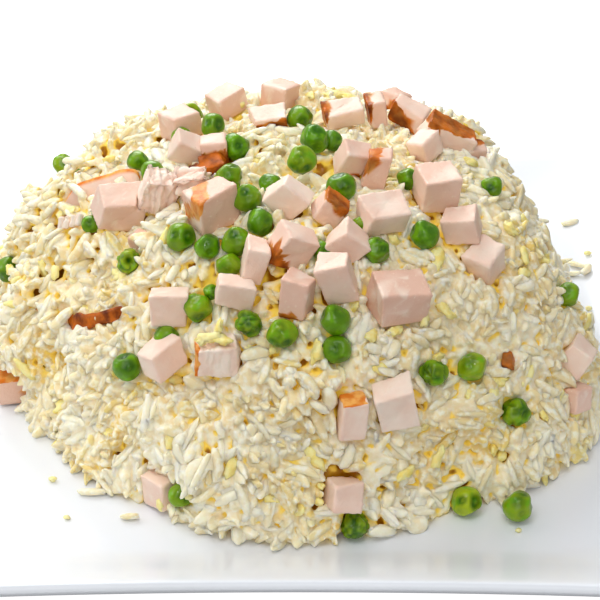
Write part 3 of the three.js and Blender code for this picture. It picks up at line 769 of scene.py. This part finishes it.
low = np.tile(np.linspace(0, 1, len(p) // len(SHREDS)), len(SHREDS))
rind, pale = 0.8 * ramp(low, 0.8, 1.0), 1 - 0.6 * ramp(low, 0.6, 1)
ham_piece("ham_shreds", p, tri, rind, pale, 0.2 * low, 0 * low + 1)

CHIPS = [  # x, y, lift, size, how much of it is rind
    (-25.7, -11.0, 0.6, 7.0, 1.0), (-46.5, -29.8, 0.2, 6.0, 0.3), (58.8, -60.4, 0.3, 4.5, 0.8),
    (-30.5, -13.0, 0.4, 5.0, 1.0), (31.0, 31.5, 0.6, 6.0, 1.0), (44.0, 16.0, 0.6, 6.0, 1.0),
]
chips = []
for k, (x, y, lift, size, rind) in enumerate(CHIPS):
    box = uneven_box((size, size * 0.7, size * 0.6), seeded(70 + k), 0.2) @ turn(40 * k, 20, -15).T
    p, normal, tri = remeshed(box + on_dome(x, y, lift), BOX_FACES, 0.5, 3)
    chips.append((p + normal * (0.25 * noise(p / 1.8, k))[:, None], tri, np.full(len(p), rind)))
p, tri, rind = merged(chips)
ham_piece("ham_chips", p, tri, rind, 0 * rind, rind, 0 * rind + 0.5)

# %% [markdown]
# ## Peas
#
# A pea shrinks as it cooks, so its skin has flat spots, dents with a soft rim and, on some,
# creases: its radius is less in a few directions. A split pea shows the seam of its halves.

# %% Peas
WRINKLED = {"pea_02", "pea_15", "pea_19", "pea_23", "small_07"}
SPLIT = {"pea_01", "pea_04", "half_01"}
YELLOWER = {"pea_02": 0.75, "pea_15": 0.45, "pea_20": 0.6, "pea_21": 0.95, "pea_18": 0.15, "pea_22": 0.55,
            "pea_12": 0.3, "pea_06": 0.0, "pea_09": 0.05, "pea_10": 0.2, "small_01": 0.8, "small_05": 0.6}


def pea_surface(name, middle, half, rings, sides):
    """A ball cut by soft flats, r = -log(sum exp(-16 reach / d.n)) / 16, less dips with a raised
    middle, depth exp(-(angle / width)^4) (1 - 0.6 exp(-(3 angle / width)^2)), and less folds
    along |noise| = 0 where a skin is wrinkled. Returns points, triangles, dent, split, tone."""
    seed = sum(map(ord, name)) + 40
    chance = np.random.default_rng(seed)
    d = ball(rings, sides) @ turn(chance.random() * 360, chance.random() * 360, 0).T
    flats = unit(chance.normal(size=(9, 3)))
    reach = chance.uniform(0.8, 0.95, 9) / np.maximum(d @ flats.T, 0.3)
    out = -np.log(np.exp(-16) + np.exp(-16 * reach).sum(1)) / 16 + 0.04 * noise(d * 1.5 + seed, seed)
    dent = np.zeros(len(d))
    towards = unit(chance.normal(size=(5, 3)) * 0.8 + [0, -0.9, 0.5])
    for k, way in enumerate(towards[:3 if name in WRINKLED else chance.integers(3, 6)]):
        angle = np.arccos(np.clip(d @ way, -1, 1))
        width = chance.uniform(0.3, 0.6)
        dip = np.exp(-(angle / width) ** 4) * (1 - 0.6 * np.exp(-(3 * angle / width) ** 2))
        out = out - chance.uniform(0.06, 0.17) * dip
        dent = np.maximum(dent, dip * chance.uniform(0.4, 1.0))
    if name == "pea_02":  # its middle has fallen in
        angle = np.arccos(np.clip(d @ unit(np.array([0.1, -0.8, 0.55])), -1, 1))
        hole = np.exp(-(angle / 0.42) ** 4)
        out, dent = out - 0.5 * hole, np.maximum(dent, hole)
    if name in WRINKLED:
        fold = 1 - ramp(np.abs(noise(d * 1.9 + seed, seed + 1)), 0.0, 0.4)
        out, dent = out - 0.16 * fold, np.maximum(dent, 0.8 * fold)
    split = np.zeros(len(d))
    if name in SPLIT:
        across = np.abs(d @ unit(chance.normal(size=3) + [0.6, 0, 0]))
        out, split = out - 0.3 * np.exp(-(across / 0.13) ** 2), np.exp(-(across / 0.2) ** 2)
    dent = np.clip(dent + 0.25 * noise(d * 2.2 + seed, seed + 2), 0, 1)
    tone = np.full(len(d), YELLOWER.get(name, chance.uniform(0.05, 0.5)))
    return middle + d * out[:, None] * half * 1.05, closed_faces(rings, sides), dent, split, tone


def pea_piece(name, points, faces, *marks, nodes=("rice",)):
    piece(name, points, faces, PEA, "pea", nodes, **dict(zip(("dent", "split", "tone"), marks)))


for name, shape in peas.items():
    pea_piece(name + "_skin", *pea_surface(name, *shape, 22, 30), nodes=[name])
pea_piece("peas_buried", *merged([pea_surface(name, *shape, 16, 22) for name, shape in small_peas.items()]))
print("peas:", len(peas), "whole,", len(small_peas), "buried")

# %% [markdown]
# ## Packing the grains
#
# Scattered grains would pass through each other. So each is taken as three balls on a line, laid
# near the surface of the heap, and all are pushed apart in rounds: balls that overlap move away
# from each other, from the toppings and from the plate, while a pull keeps each grain at its
# depth. A die keeps grains out by the planes of its hull, a pea by its middle and radius.

# %% Neighbours and obstacles
def neighbours(p, cell):
    """Pairs of points in the same or adjoining cells, each pair once, by sorted cell numbers."""
    spot = np.floor(p / cell).astype(np.int64)
    spot -= spot.min(0) - 1
    wide = spot.max(0) + 2
    key = (spot[:, 0] * wide[1] + spot[:, 1]) * wide[2] + spot[:, 2]
    order = np.argsort(key, kind="stable")
    ranked = key[order]
    first, second = [], []
    for dx, dy, low in ((0, 0, 0), (0, 1, -1), (1, -1, -1), (1, 0, -1), (1, 1, -1)):
        base = key + (dx * wide[1] + dy) * wide[2]
        start = np.searchsorted(ranked, base + low, "left")
        count = np.searchsorted(ranked, base + 1, "right") - start
        i = np.repeat(np.arange(len(p)), count)
        j = order[np.repeat(start - np.cumsum(count) + count, count) + np.arange(count.sum())]
        keep = (key[j] > key[i]) | ((key[j] == key[i]) & (j > i)) if low == 0 else np.ones(len(i), bool)
        first.append(i[keep])
        second.append(j[keep])
    return np.concatenate(first), np.concatenate(second)


def hull_planes(points, faces):
    """Outward normals n of the faces, and the furthest n.p of any point in each direction."""
    a, b, c = [points[faces[:, k]] for k in range(3)]
    n = np.cross(b - a, c - a)
    n = unit(n[np.linalg.norm(n, axis=1) > 0.2])
    return n, (points @ n.T).max(0)


blocks = [(p.mean(0), *hull_planes(p, f)) for p, f in HAM_BLOCKS]
balls = PEA_BALLS + [(p, 2.3) for p in FLAKE_PATH] + [(p, 3.0) for p in SLICE_PATH]
balls += [(p, 2.2) for p in SHREDS] + [(on_dome(*chip[:3]), chip[3] * 0.45) for chip in CHIPS]
print(len(blocks), "blocks and", len(balls), "balls keep the rice away")


# %% Relaxation
def spread(centre, *ways):
    """Many points around each centre: centre + the sum of direction * amount."""
    p = centre[:, None]
    for direction, amount in ways:
        p = p + direction[:, None] * amount[..., None]
    return p


def balls_of(centre, axis, reach):
    """Three balls for each grain, at centre + axis * reach * (-1, 0, 1)."""
    return spread(centre, (axis, reach[:, None] * [-1, 0, 1]))


STEP, PULL, PROUD = 1.2, 0.22, 2.6  # longest push, share of the way to its depth, how far ends stand out


def packed(centre, axis, half, radius, depth, rounds):
    """Rounds of pushing apart. Each ball of a pair moves by a third of their overlap, one in a
    topping goes out by the nearest side, and nothing sinks into the plate."""
    owner, size = np.repeat(np.arange(len(centre)), 3), np.repeat(radius, 3)
    for k in range(rounds):
        p = balls_of(centre, axis, half).reshape(-1, 3)
        if k % 4 == 0:  # who is near whom changes slowly
            i, j = neighbours(p, 4.4)
            apart = (owner[i] != owner[j]) & (far(p[i], p[j]) < size[i] + size[j] + 1.0)
            i, j = i[apart], j[apart]
            near = [np.flatnonzero(far(p, m) < 12.5) for m, _, _ in blocks]
            close = [np.flatnonzero(far(p, m) < r + 4) for m, r in balls]
        push = np.zeros_like(p)
        away = p[i] - p[j]
        gap = np.maximum(np.linalg.norm(away, axis=1), 1e-6)
        away = away * (np.maximum(size[i] + size[j] - gap, 0) * 0.33 / gap)[:, None]
        for d in range(3):
            push[:, d] += np.bincount(i, away[:, d], len(p)) - np.bincount(j, away[:, d], len(p))
        for (_, n, offset), at in zip(blocks, near):
            out = p[at] @ n.T - offset
            side = out.argmax(1)
            short = np.maximum(size[at] + 0.1 - out[np.arange(len(at)), side], 0)
            push[at] += n[side] * np.minimum(short, 1.5)[:, None] * 0.8
        for (m, r), at in zip(balls, close):
            away = p[at] - m
            gap = np.linalg.norm(away, axis=1)
            push[at] += away * (np.maximum(size[at] + r - gap, 0) / gap * 0.8)[:, None]
        outside, normal = off_surface(centre)
        pull = np.clip(depth - outside, -1, 1) * PULL
        lift = outside[:, None] + (half[:, None] * [-1, 0, 1]) * (axis * normal).sum(1)[:, None]
        proud = np.maximum(lift - PROUD, 0) * 0.4
        p = (p + np.clip(push, -STEP, STEP)).reshape(-1, 3, 3)
        p = p + normal[:, None] * (pull[:, None] - proud)[..., None]
        p[..., 2] = np.maximum(p[..., 2], plate_height(p[..., 0], p[..., 1]) + radius[:, None] * 0.9)
        centre, line = p.mean(1), p[:, 2] - p[:, 0]
        axis = np.where(np.linalg.norm(line, axis=1, keepdims=True) > 0.5, unit(line), axis)
    return centre, axis


def blocked(p, margin):
    """True where a point is inside a topping or within margin of it."""
    hit = np.zeros(len(p), bool)
    for _, n, offset in blocks:
        hit |= (p @ n.T - offset).max(1) < margin
    for m, r in balls:
        hit |= far(p, m) < r + margin
    return hit


print("ready to pack")

# %% [markdown]
# ## Laying the grains
#
# The outer layer lies about a millimetre under the surface and the next one two millimetres
# below it. Neighbouring grains often point the same way, roughly downhill with their lower ends
# out, like shingles, and lie flatter on the right. Along some valleys grains are left out, which
# opens pits that the painted shade turns dark amber. Scraps of egg and browned bits are packed
# together with the grains.

# %% Lay and pack
TOP, LOW, EGG_COUNT, BIT_COUNT = 4100, 3300, 130, 24
kind = np.repeat([0, 1, 2], [TOP + LOW, EGG_COUNT, BIT_COUNT])  # 0 grain, 1 egg, 2 browned bit
total = len(kind)
spot = flank(total, 5)
depth = np.where(np.arange(total) < TOP, rng.normal(-0.8, 0.7, total), rng.normal(-2.8, 0.6, total))
depth[kind == 1] = rng.normal(-0.5, 0.5, EGG_COUNT)
depth[kind == 2] = rng.normal(-1.2, 0.5, BIT_COUNT)
outside, normal = off_surface(spot)
depth = depth - 1.3 * ramp(clear_of_toppings(spot), 5.0, 1.0)
spot = spot + normal * (depth - outside)[:, None]
spot[:, 2] = np.maximum(spot[:, 2], WELL_TOP + 1.3)
length = rng.normal(9.2, 1.1, total).clip(7, 11.5)
short = rng.random(total) < 0.22  # broken grains
length[short] = rng.uniform(4, 7, short.sum())
radius = rng.normal(1.45, 0.16, total).clip(1.15, 1.85)
radius[kind == 1], length[kind == 1] = rng.uniform(1.0, 1.7, EGG_COUNT), rng.uniform(4, 7.5, EGG_COUNT)
radius[kind == 2], length[kind == 2] = rng.uniform(0.8, 1.2, BIT_COUNT), rng.uniform(2.0, 4.0, BIT_COUNT)
half = np.maximum(length / 2 - radius, 0.3)
valley = (rng.random(total) < 0.4 * ramp(noise(spot / 5.5, 51), -0.35, -0.6)) & (kind == 0)
hole = np.min([far(spot, p) for p in PITS], axis=0) < 2.6
keep = ~blocked(spot, 0.2) & ~valley & ~hole
swirl = (2.6 * noise(spot / 11, 61) + rng.normal(0, 0.65, total))[:, None]
uphill = np.array([0.25, 0.6, 1.0])
down = unit(normal * (normal @ uphill)[:, None] - uphill)
tilt = rng.normal(0.36, 0.3, total) * (1 - 0.6 * ramp(spot[:, 0], 10, 45))
axis = unit(down * np.cos(swirl) + np.cross(normal, down) * np.sin(swirl) + normal * tilt[:, None])
spot, axis, half, radius, depth, length, kind, short = [a[keep] for a in (
    spot, axis, half, radius, depth, length, kind, short)]
centre, axis = packed(spot, axis, half, radius, depth, 36)
outside, normal = off_surface(centre)
stay = (outside < 1.6) & ~blocked(centre, 0.2)
centre, axis, radius, length, kind, short, outside, normal = [a[stay] for a in (
    centre, axis, radius, length, kind, short, outside, normal)]
print(len(centre), "grains and scraps packed,", int((kind == 0).sum()), "of them grains")

# %% [markdown]
# ## A grain
#
# A grain of long rice is a slim spindle, a little flat, ridged and bent. Along its length t from
# -1 to 1 its radius is w (1 - |t|^k)^0.55 with k from 1.8, pointed, to 3.8, rounded, and a
# broken grain has one blunt end with (1 - |t|^7)^0.5. Six rings of six points are enough.

# %% Grain mesh
RING_T = np.array([-0.94, -0.70, -0.27, 0.27, 0.70, 0.94])
SIDES, GRAIN_POINTS = 6, 38


def grains(centre, axis, normal, length, radius, broken):
    """Point = centre + axis t L/2 + (1.12 side cos a + 0.7 flat sin a) w(t) + side bend (t^2 - 0.35)."""
    count = len(centre)
    roll = rng.normal(0, 0.7, count)[:, None]
    flat = unit(normal - (normal * axis).sum(1, keepdims=True) * axis + 1e-3)
    side = np.cross(axis, flat)
    flat, side = flat * np.cos(roll) + side * np.sin(roll), side * np.cos(roll) - flat * np.sin(roll)
    t = np.concatenate([[-1], np.repeat(RING_T, SIDES), [1]])
    a = np.concatenate([[0], np.tile(np.arange(SIDES) / SIDES * 2 * math.pi, len(RING_T)), [0]])
    slim = (1 - np.abs(t) ** rng.uniform(1.8, 3.8, (count, 1))) ** 0.55
    blunt = (1 - np.abs(t) ** 7) ** 0.5
    w = np.where(broken[:, None] & (t > 0)[None], blunt, slim) * radius[:, None]
    ridge = np.tile(1 + 0.15 * rng.normal(size=(count, SIDES)).clip(-1.6, 1.6), len(RING_T))
    w[:, 1:-1] *= ridge * (1 + 0.08 * rng.normal(size=ridge.shape).clip(-2, 2))
    bend = (rng.normal(0, 0.085, count) * length)[:, None] * (t ** 2 - 0.35)
    tip = 0.1 * rng.normal(size=(count, GRAIN_POINTS)) * broken[:, None] * (t > 0.9)
    return spread(centre, (axis, (t + tip) * length[:, None] / 2), (side, np.cos(a) * w * 1.12 + bend),
                  (flat, np.sin(a) * w * 0.7))


is_grain = kind == 0
x, y, _ = centre.T
# painted shade: grains on the right, where the heap is in shade, and at the front left are made duller and
# yellower
painted_shade_zone = ramp(x, 20, 55) * ramp(y, 20, -10) + ramp(x, -30, -60) * ramp(y, 0, -30)
tone = np.clip(0.5 + 0.5 * noise(centre / 11, 71) + rng.normal(0, 0.22, len(centre)), 0, 1) - 0.15 * painted_shade_zone
yellow = 0.36 + 0.2 * painted_shade_zone + 0.45 * noise(centre / 13, 81) + rng.normal(0, 0.15, len(centre))
yellow = np.clip(yellow, 0, 1)
print("one grain:", len(closed_faces(len(RING_T), SIDES)), "triangles")

# %% [markdown]
# ## One sticky mass
#
# Cooked rice sticks together, and in places whole clusters have run into one soft lump. The
# grains are swollen until they press into each other and joined with a core about 3 mm inside
# the heap. A voxel remesh makes one skin of them. Each point takes the tone of its grain and a
# mark of how deep it lies, creases and hollows counting deeper, so that painted amber shade fills
# the gaps.

# %% Core
def core_points(rows, sides, inset):
    """Dome point (share s, angle a), moved on to the surface and then in along the normal by
    inset - 1.1 noise + 1.6 pit + 0.6 near a topping."""
    s = np.sin(np.linspace(0, 1, rows + 1)[1:] * math.pi / 2)[:, None]
    a = (np.arange(sides) / sides * 2 * math.pi)[None]
    r = s * foot_radius(a) * 0.999
    p = on_dome(r * np.cos(a), r * np.sin(a))
    gap, normal = off_surface(p)
    pit = ramp(noise(p / 5.5, 51), -0.3, -0.6)
    hole = np.max([np.exp(-(far(p, q) / 3) ** 2) for q in PITS], axis=0)
    low = inset - 1.1 * noise(p / 2.2, 91) + 1.6 * np.maximum(pit, hole)
    low = low + 0.6 * ramp(clear_of_toppings(p), 5.0, 1.0)
    p = p - normal * (gap + low)[..., None]
    p[..., 2] = np.maximum(p[..., 2], CORE_FLOOR)
    return np.concatenate([[[0, 0, CORE_FLOOR]], p[::-1].reshape(-1, 3), [p[0].mean(0)]])


CORE_FLOOR = WELL_TOP + 0.4
core, core_faces = core_points(110, 280, 3.05), closed_faces(110, 280)
print("core:", len(core_faces), "triangles")

# %% Melt
def hollows(p, normal, tri, rounds):
    """How far the middle of a point's neighbours lies outside it, evened out over them: above 0
    in a crease, below 0 on a crest."""
    one, two = tri.ravel(), np.roll(tri, 1, 1).ravel()
    one, two = np.concatenate([one, two]), np.concatenate([two, one])
    count = np.maximum(np.bincount(one, minlength=len(p)), 1)
    bowl = sum((np.bincount(one, p[two, k], len(p)) / count - p[:, k]) * normal[:, k] for k in range(3))
    for _ in range(rounds):
        bowl = 0.4 * bowl + 0.6 * np.bincount(one, bowl[two], len(p)) / count
    return bowl


VOXEL, KEPT, UNSEEN, CREASE = 0.58, 0.46, -8.5, 1.4  # mm, share, mm, mm that a crease counts deeper
calm = ramp(x, 15, 50) * ramp(y, 30, 0)  # on the right, more melted
swell = 1.08 + 0.2 * ramp(noise(centre / 9, 41), 0.0, 0.6) + 0.05 * calm
shape = grains(centre, axis, normal, length * 1.04, radius * swell, short)[is_grain]
solids = merged([(shape.reshape(-1, 3), closed_faces(len(RING_T), SIDES, len(shape))), (core, core_faces)])
p, out, tri = remeshed(*solids, VOXEL, 2, KEPT)
p = p + out * (0.05 * noise(p / 1.3, 17))[:, None]
crease = hollows(p, out, tri, 3)
print("creases from", np.percentile(crease, [5, 50, 95]).round(3))
# creases and relief hollows count deeper, so the painted shade darkens them more
level = off_surface(p)[0] - CREASE * ramp(crease, 0.0, 0.13) + 0.4 * np.minimum(relief(p), 0)
tri = tri[(level[tri] > UNSEEN).any(1)]
used, back = np.unique(tri, return_inverse=True)
p, level, tri = p[used], level[used], back.reshape(-1, 3)
print("melted:", len(tri), "triangles")

# %% Marks of the mass
line = balls_of(centre, axis, length * 0.33)[is_grain].reshape(-1, 3)
finder = KDTree(len(line))
for k, at in enumerate(line):
    finder.insert(at, k)
finder.balance()
owner = np.array([finder.find(at)[1] for at in p]) // 3
# deep: the painted shade mark, from how far a point lies under the heap's surface
marks = {"tone": tone[is_grain][owner], "yellow": yellow[is_grain][owner], "deep": np.clip(-level / 5, 0, 1)}
inside = p[tri].mean(1)
away = np.mod(np.arctan2(inside[:, 1], inside[:, 0]) / (math.pi / 2) + 0.5, 4).astype(int)
for k, name in enumerate(("right", "back", "left", "front")):
    used, back = np.unique(tri[away == k], return_inverse=True)
    piece("rice_" + name, p[used], back.reshape(-1, 3), RICE, "fried_rice",
          **{key: value[used] for key, value in marks.items()})
    print("rice_" + name, int((away == k).sum()), "triangles")

# %% Loose grains
def grain_piece(name, shape, tone, yellow, deep):
    tone, yellow = [np.repeat(value, GRAIN_POINTS) for value in (tone, yellow)]
    piece(name, shape, closed_faces(len(RING_T), SIDES, len(shape)), RICE, "fried_rice", tone=tone,
          yellow=yellow, deep=deep)
    print(name, len(shape), "grains")


loose = is_grain & (outside > -1.3) & (rng.random(len(centre)) < 0.85 - 0.15 * calm)
shape = grains(centre + normal * 0.65, axis, normal, length, radius, short)[loose]
height = ((shape - centre[loose][:, None]) * normal[loose][:, None]).sum(-1)
# painted shade: the deep mark grows with depth and on each grain's underside
deep = np.clip(-(outside[loose][:, None] + height) / 5, 0, 1) + 0.12 * ramp(height, 0.6, -0.6)
grain_piece("grains_loose", shape, np.clip(tone[loose] + 0.06, 0, 1), yellow[loose], deep)

# %% [markdown]
# ## Egg, browned bits and strays
#
# Scraps of egg and browned bits are balls whose radius is pushed in and out by coarse and fine
# noise, stretched along their own axis. A few grains and crumbs have rolled on to the plate.

# %% Egg and bits
def lumps(centre, axis, normal, length, radius, rings, sides, seed, rough=0.45):
    """r = 1 + rough noise(1.5 d) + 0.5 rough noise(3.4 d), scaled by half length and radius."""
    d = ball(rings, sides)
    move = np.arange(len(centre))[:, None, None] * 7.3 + seed
    out = 1 + rough * noise(d * 1.5 + move, seed) + 0.5 * rough * noise(d * 3.4 + move, seed + 1)
    q = d * out[..., None]
    side = unit(np.cross(axis, normal) + 1e-4)
    flat = np.cross(side, axis)
    return spread(centre, (axis, q[..., 2] * length[:, None] / 2), (side, q[..., 0] * radius[:, None]),
                  (flat, q[..., 1] * radius[:, None] * 0.8))


def lump_piece(name, shape, look, rings, sides, tone):
    piece(name, shape, closed_faces(rings, sides, len(shape)), look, "fried_rice",
          tone=np.repeat(tone, rings * sides + 2))
    print(name, len(shape))


EGGS = [  # the scraps that show, and how long they are
    (3.2, 34.8, 84.2, 6.5), (11.0, 35.9, 83.6, 7.0), (15.7, 32.5, 84.2, 5.5), (-51.4, -39.3, 60.9, 5.5),
    (-53.0, -36.9, 60.6, 4.5), (54.1, -67.5, 40.4, 7.0), (80.6, -51.9, 24.0, 5.5), (34.8, -63.4, 62.2, 5.5),
    (4.7, -75.9, 59.0, 6.5), (-27.5, -83.5, 31.8, 6.0), (51.6, -2.8, 80.0, 4.5), (-90.6, 2.5, 39.8, 4.5),
    (-72.5, -2.4, 62.3, 4.0), (-69.7, -4.7, 64.2, 4.0), (-73.4, -20.2, 51.4, 4.5), (-85.6, -14.0, 38.8, 5.0),
    (-81.6, -24.3, 34.4, 5.0), (-66.2, -38.0, 43.0, 4.0), (64.8, -35.3, 65.8, 5.0), (61.0, -28.8, 71.5, 5.0),
    (40.5, -59.5, 62.9, 5.5), (26.2, -68.4, 61.2, 4.5), (29.1, -86.7, 25.8, 5.0), (38.3, -81.6, 27.4, 5.5),
    (-39.6, -82.7, 12.6, 4.0), (-30.8, -86.7, 18.0, 5.0), (-8.3, -93.4, 22.2, 4.5), (64.7, -60.1, 40.9, 5.0),
    (47.7, -71.2, 40.5, 6.0), (22.0, -75.9, 53.6, 5.0), (-18.7, 28.8, 84.2, 5.0), (-58.4, 10.7, 74.2, 4.5),
    (38.6, -49.0, 73.0, 7.0), (70.5, -57.0, 35.0, 5.0), (74.5, -55.0, 30.0, 6.0),
]
UP = (0.0, 0.0, 1.0)
place, size = np.array(EGGS)[:, :3], np.array(EGGS)[:, 3]
out = off_surface(place)[1]
lying = unit(np.cross(out, rng.normal(size=out.shape)))
egg = lumps(place, lying, out, size, 0.28 * size, 10, 12, 3, 0.6)
low, high = box_mm("ham_28")  # four more lie on this die
share = np.array([(0.35, 0.45, 1.12), (0.6, 0.35, 1.1), (0.2, 0.3, 1.06), (0.5, 0.6, 1.3)])
lying = unit(np.array([(1, 0.2, 0.1), (1, -0.4, -0.1), (0.8, 0.5, -0.2), (0.5, 0.2, 1.0)]))
more = lumps(low + (high - low) * share, lying, np.tile(UP, (4, 1)), np.array([6.0, 5.5, 4.0, 5.0]),
             np.array([1.7, 1.5, 1.2, 1.4]), 10, 12, 4, 0.6)
egg = np.concatenate([egg, more])
lump_piece("egg_shown", egg, EGG, 10, 12, rng.random(len(egg)) * 0.6)
for name, pick, look, seed, rings, sides in (("egg_scraps", kind == 1, EGG, 5, 8, 10),
                                             ("browned_bits", kind == 2, CRUST, 6, 5, 7)):
    shape = lumps(centre[pick], axis[pick], normal[pick], length[pick] * 1.15, radius[pick] * 1.15, rings,
                  sides, seed)
    lump_piece(name, shape, look, rings, sides, rng.random(pick.sum()) * 0.5)

# %% Strays on the plate
STRAYS = [  # x, y, direction in degrees, length
    (-59.6, -72.5, 2, 9.4), (-48.3, -84.2, 5, 5.5), (96.4, 88.0, 20, 7.0), (86.0, 55.0, 40, 8.0),
    (89.0, 59.0, 100, 7.0), (92.5, 52.0, 10, 8.5), (95.0, 58.5, 150, 7.5), (84.0, 62.0, 70, 6.0),
    (88.5, 50.0, 160, 7.5), (98.0, 54.0, 60, 6.5), (60, 92, 130, 8.0), (-66, 88, 30, 8.5),
    (-88, 80, 75, 7.0), (97, -72, 20, 7.5), (20, 99, 10, 8.0), (-103, 42, 80, 7.5),
]
CRUMBS = [(-66, -84, 1.4), (61.3, -90, 1.3), (-72, -66, 1.6), (96, 30, 1.5), (-20, 104, 1.5), (70, 80, 1.6),
          (100, 66, 1.7), (-96, -50, 1.2)]
x, y, way, size = np.array(STRAYS, float).T
thick = rng.uniform(1.25, 1.5, len(x))
lying = np.stack([np.cos(np.radians(way)), np.sin(np.radians(way)), 0 * way], -1)
place = np.stack([x, y, plate_height(x, y) + thick * 0.95], -1)
stray = grains(place, lying, np.tile(UP, (len(x), 1)), size, thick, size < 7.2)
grain_piece("grains_stray", stray, rng.random(len(x)), np.full(len(x), 0.3), np.zeros(stray.shape[:2]))
x, y, size = np.array(CRUMBS, float).T
place = np.stack([x, y, plate_height(x, y) + size * 0.55], -1)
crumb = lumps(place, np.tile((1.0, 0.0, 0.0), (len(x), 1)), np.tile(UP, (len(x), 1)), size * 1.6, size * 0.6,
              5, 7, 9, 0.3)
lump_piece("crumbs", crumb, EGG, 5, 7, np.full(len(x), 0.8))

# %% [markdown]
# ## Floor, light and camera
#
# The plate stands on plain white. Large soft lights from behind and the left make the top faces
# bright and leave the right side a little darker, and weaker ones in front open the shadows. The
# camera looks down at 31 degrees through a long lens.

# %% Studio
FLOOR = material("studio_white", *WHITE)  # grey paint that glows where the camera sees it
seen = add("ShaderNodeLightPath").outputs["Is Camera Ray"]
finish(mix(mottle(300.0), (150, 150, 150), (156, 156, 156)), glow=mix(seen, BLACK, WHITE), Roughness=0.9,
       Emission_Strength=1.0)
corners = [(x, y, -0.0002) for x, y in ((-3, -3), (3, -3), (3, 3), (-3, 3))]  # metres
floor_mesh = bpy.data.meshes.new("studio_floor")
floor_mesh.from_pydata(corners, [], [(0, 1, 2, 3)])
floor_mesh.materials.append(FLOOR)
placed("studio_floor", floor_mesh)


def soft_light(name, place, aim, size, power):
    """A square area light, its -Z turned towards its aim."""
    data = bpy.data.lights.new(name, "AREA")
    data.shape, data.size, data.energy = "SQUARE", size, power
    lamp = placed(name, data)
    lamp.location = place
    lamp.rotation_euler = (Vector(aim) - Vector(place)).to_track_quat("-Z", "Y").to_euler()


for row in (("key_back_left", (-0.55, 0.45, 0.9), (0, 0, 0.05), 0.55, 4.1),
            ("side_left", (-1.0, 0.1, 0.42), (0, 0, 0.05), 0.45, 2.4),
            ("overhead", (-0.1, -0.4, 1.1), (0, -0.03, 0.04), 0.6, 3.7),
            ("front", (-0.05, -1.15, 0.6), (0, 0, 0.04), 0.7, 2.6),
            ("sparkle", (-0.35, -0.6, 0.8), (0, 0, 0.05), 0.08, 0.5),
            ("back_card", (-0.3, 1.4, 0.85), (0, 0, 0.03), 1.0, 5.0),
            ("back_low", (-0.1, 0.5, 0.4), (-0.02, 0.1, 0.0), 0.3, 1.6)):
    soft_light(*row)

world = bpy.data.worlds.new("studio_air")
world.use_nodes = True
air = world.node_tree.nodes["Background"].inputs
air["Color"].default_value, air["Strength"].default_value = (1, 1, 1, 1), 0.38
bpy.context.scene.world = world

view = bpy.data.cameras.new("camera")
view.lens, view.sensor_width, view.clip_start, view.clip_end = 118.5, 36.0, 0.01, 20.0
camera = placed("camera", view)
camera.location, camera.rotation_euler = (0, -0.5314, 0.3493), (math.radians(59), 0, 0)
bpy.context.scene.camera = camera
bpy.context.scene.view_settings.view_transform = "Standard"
print("lights and camera placed")
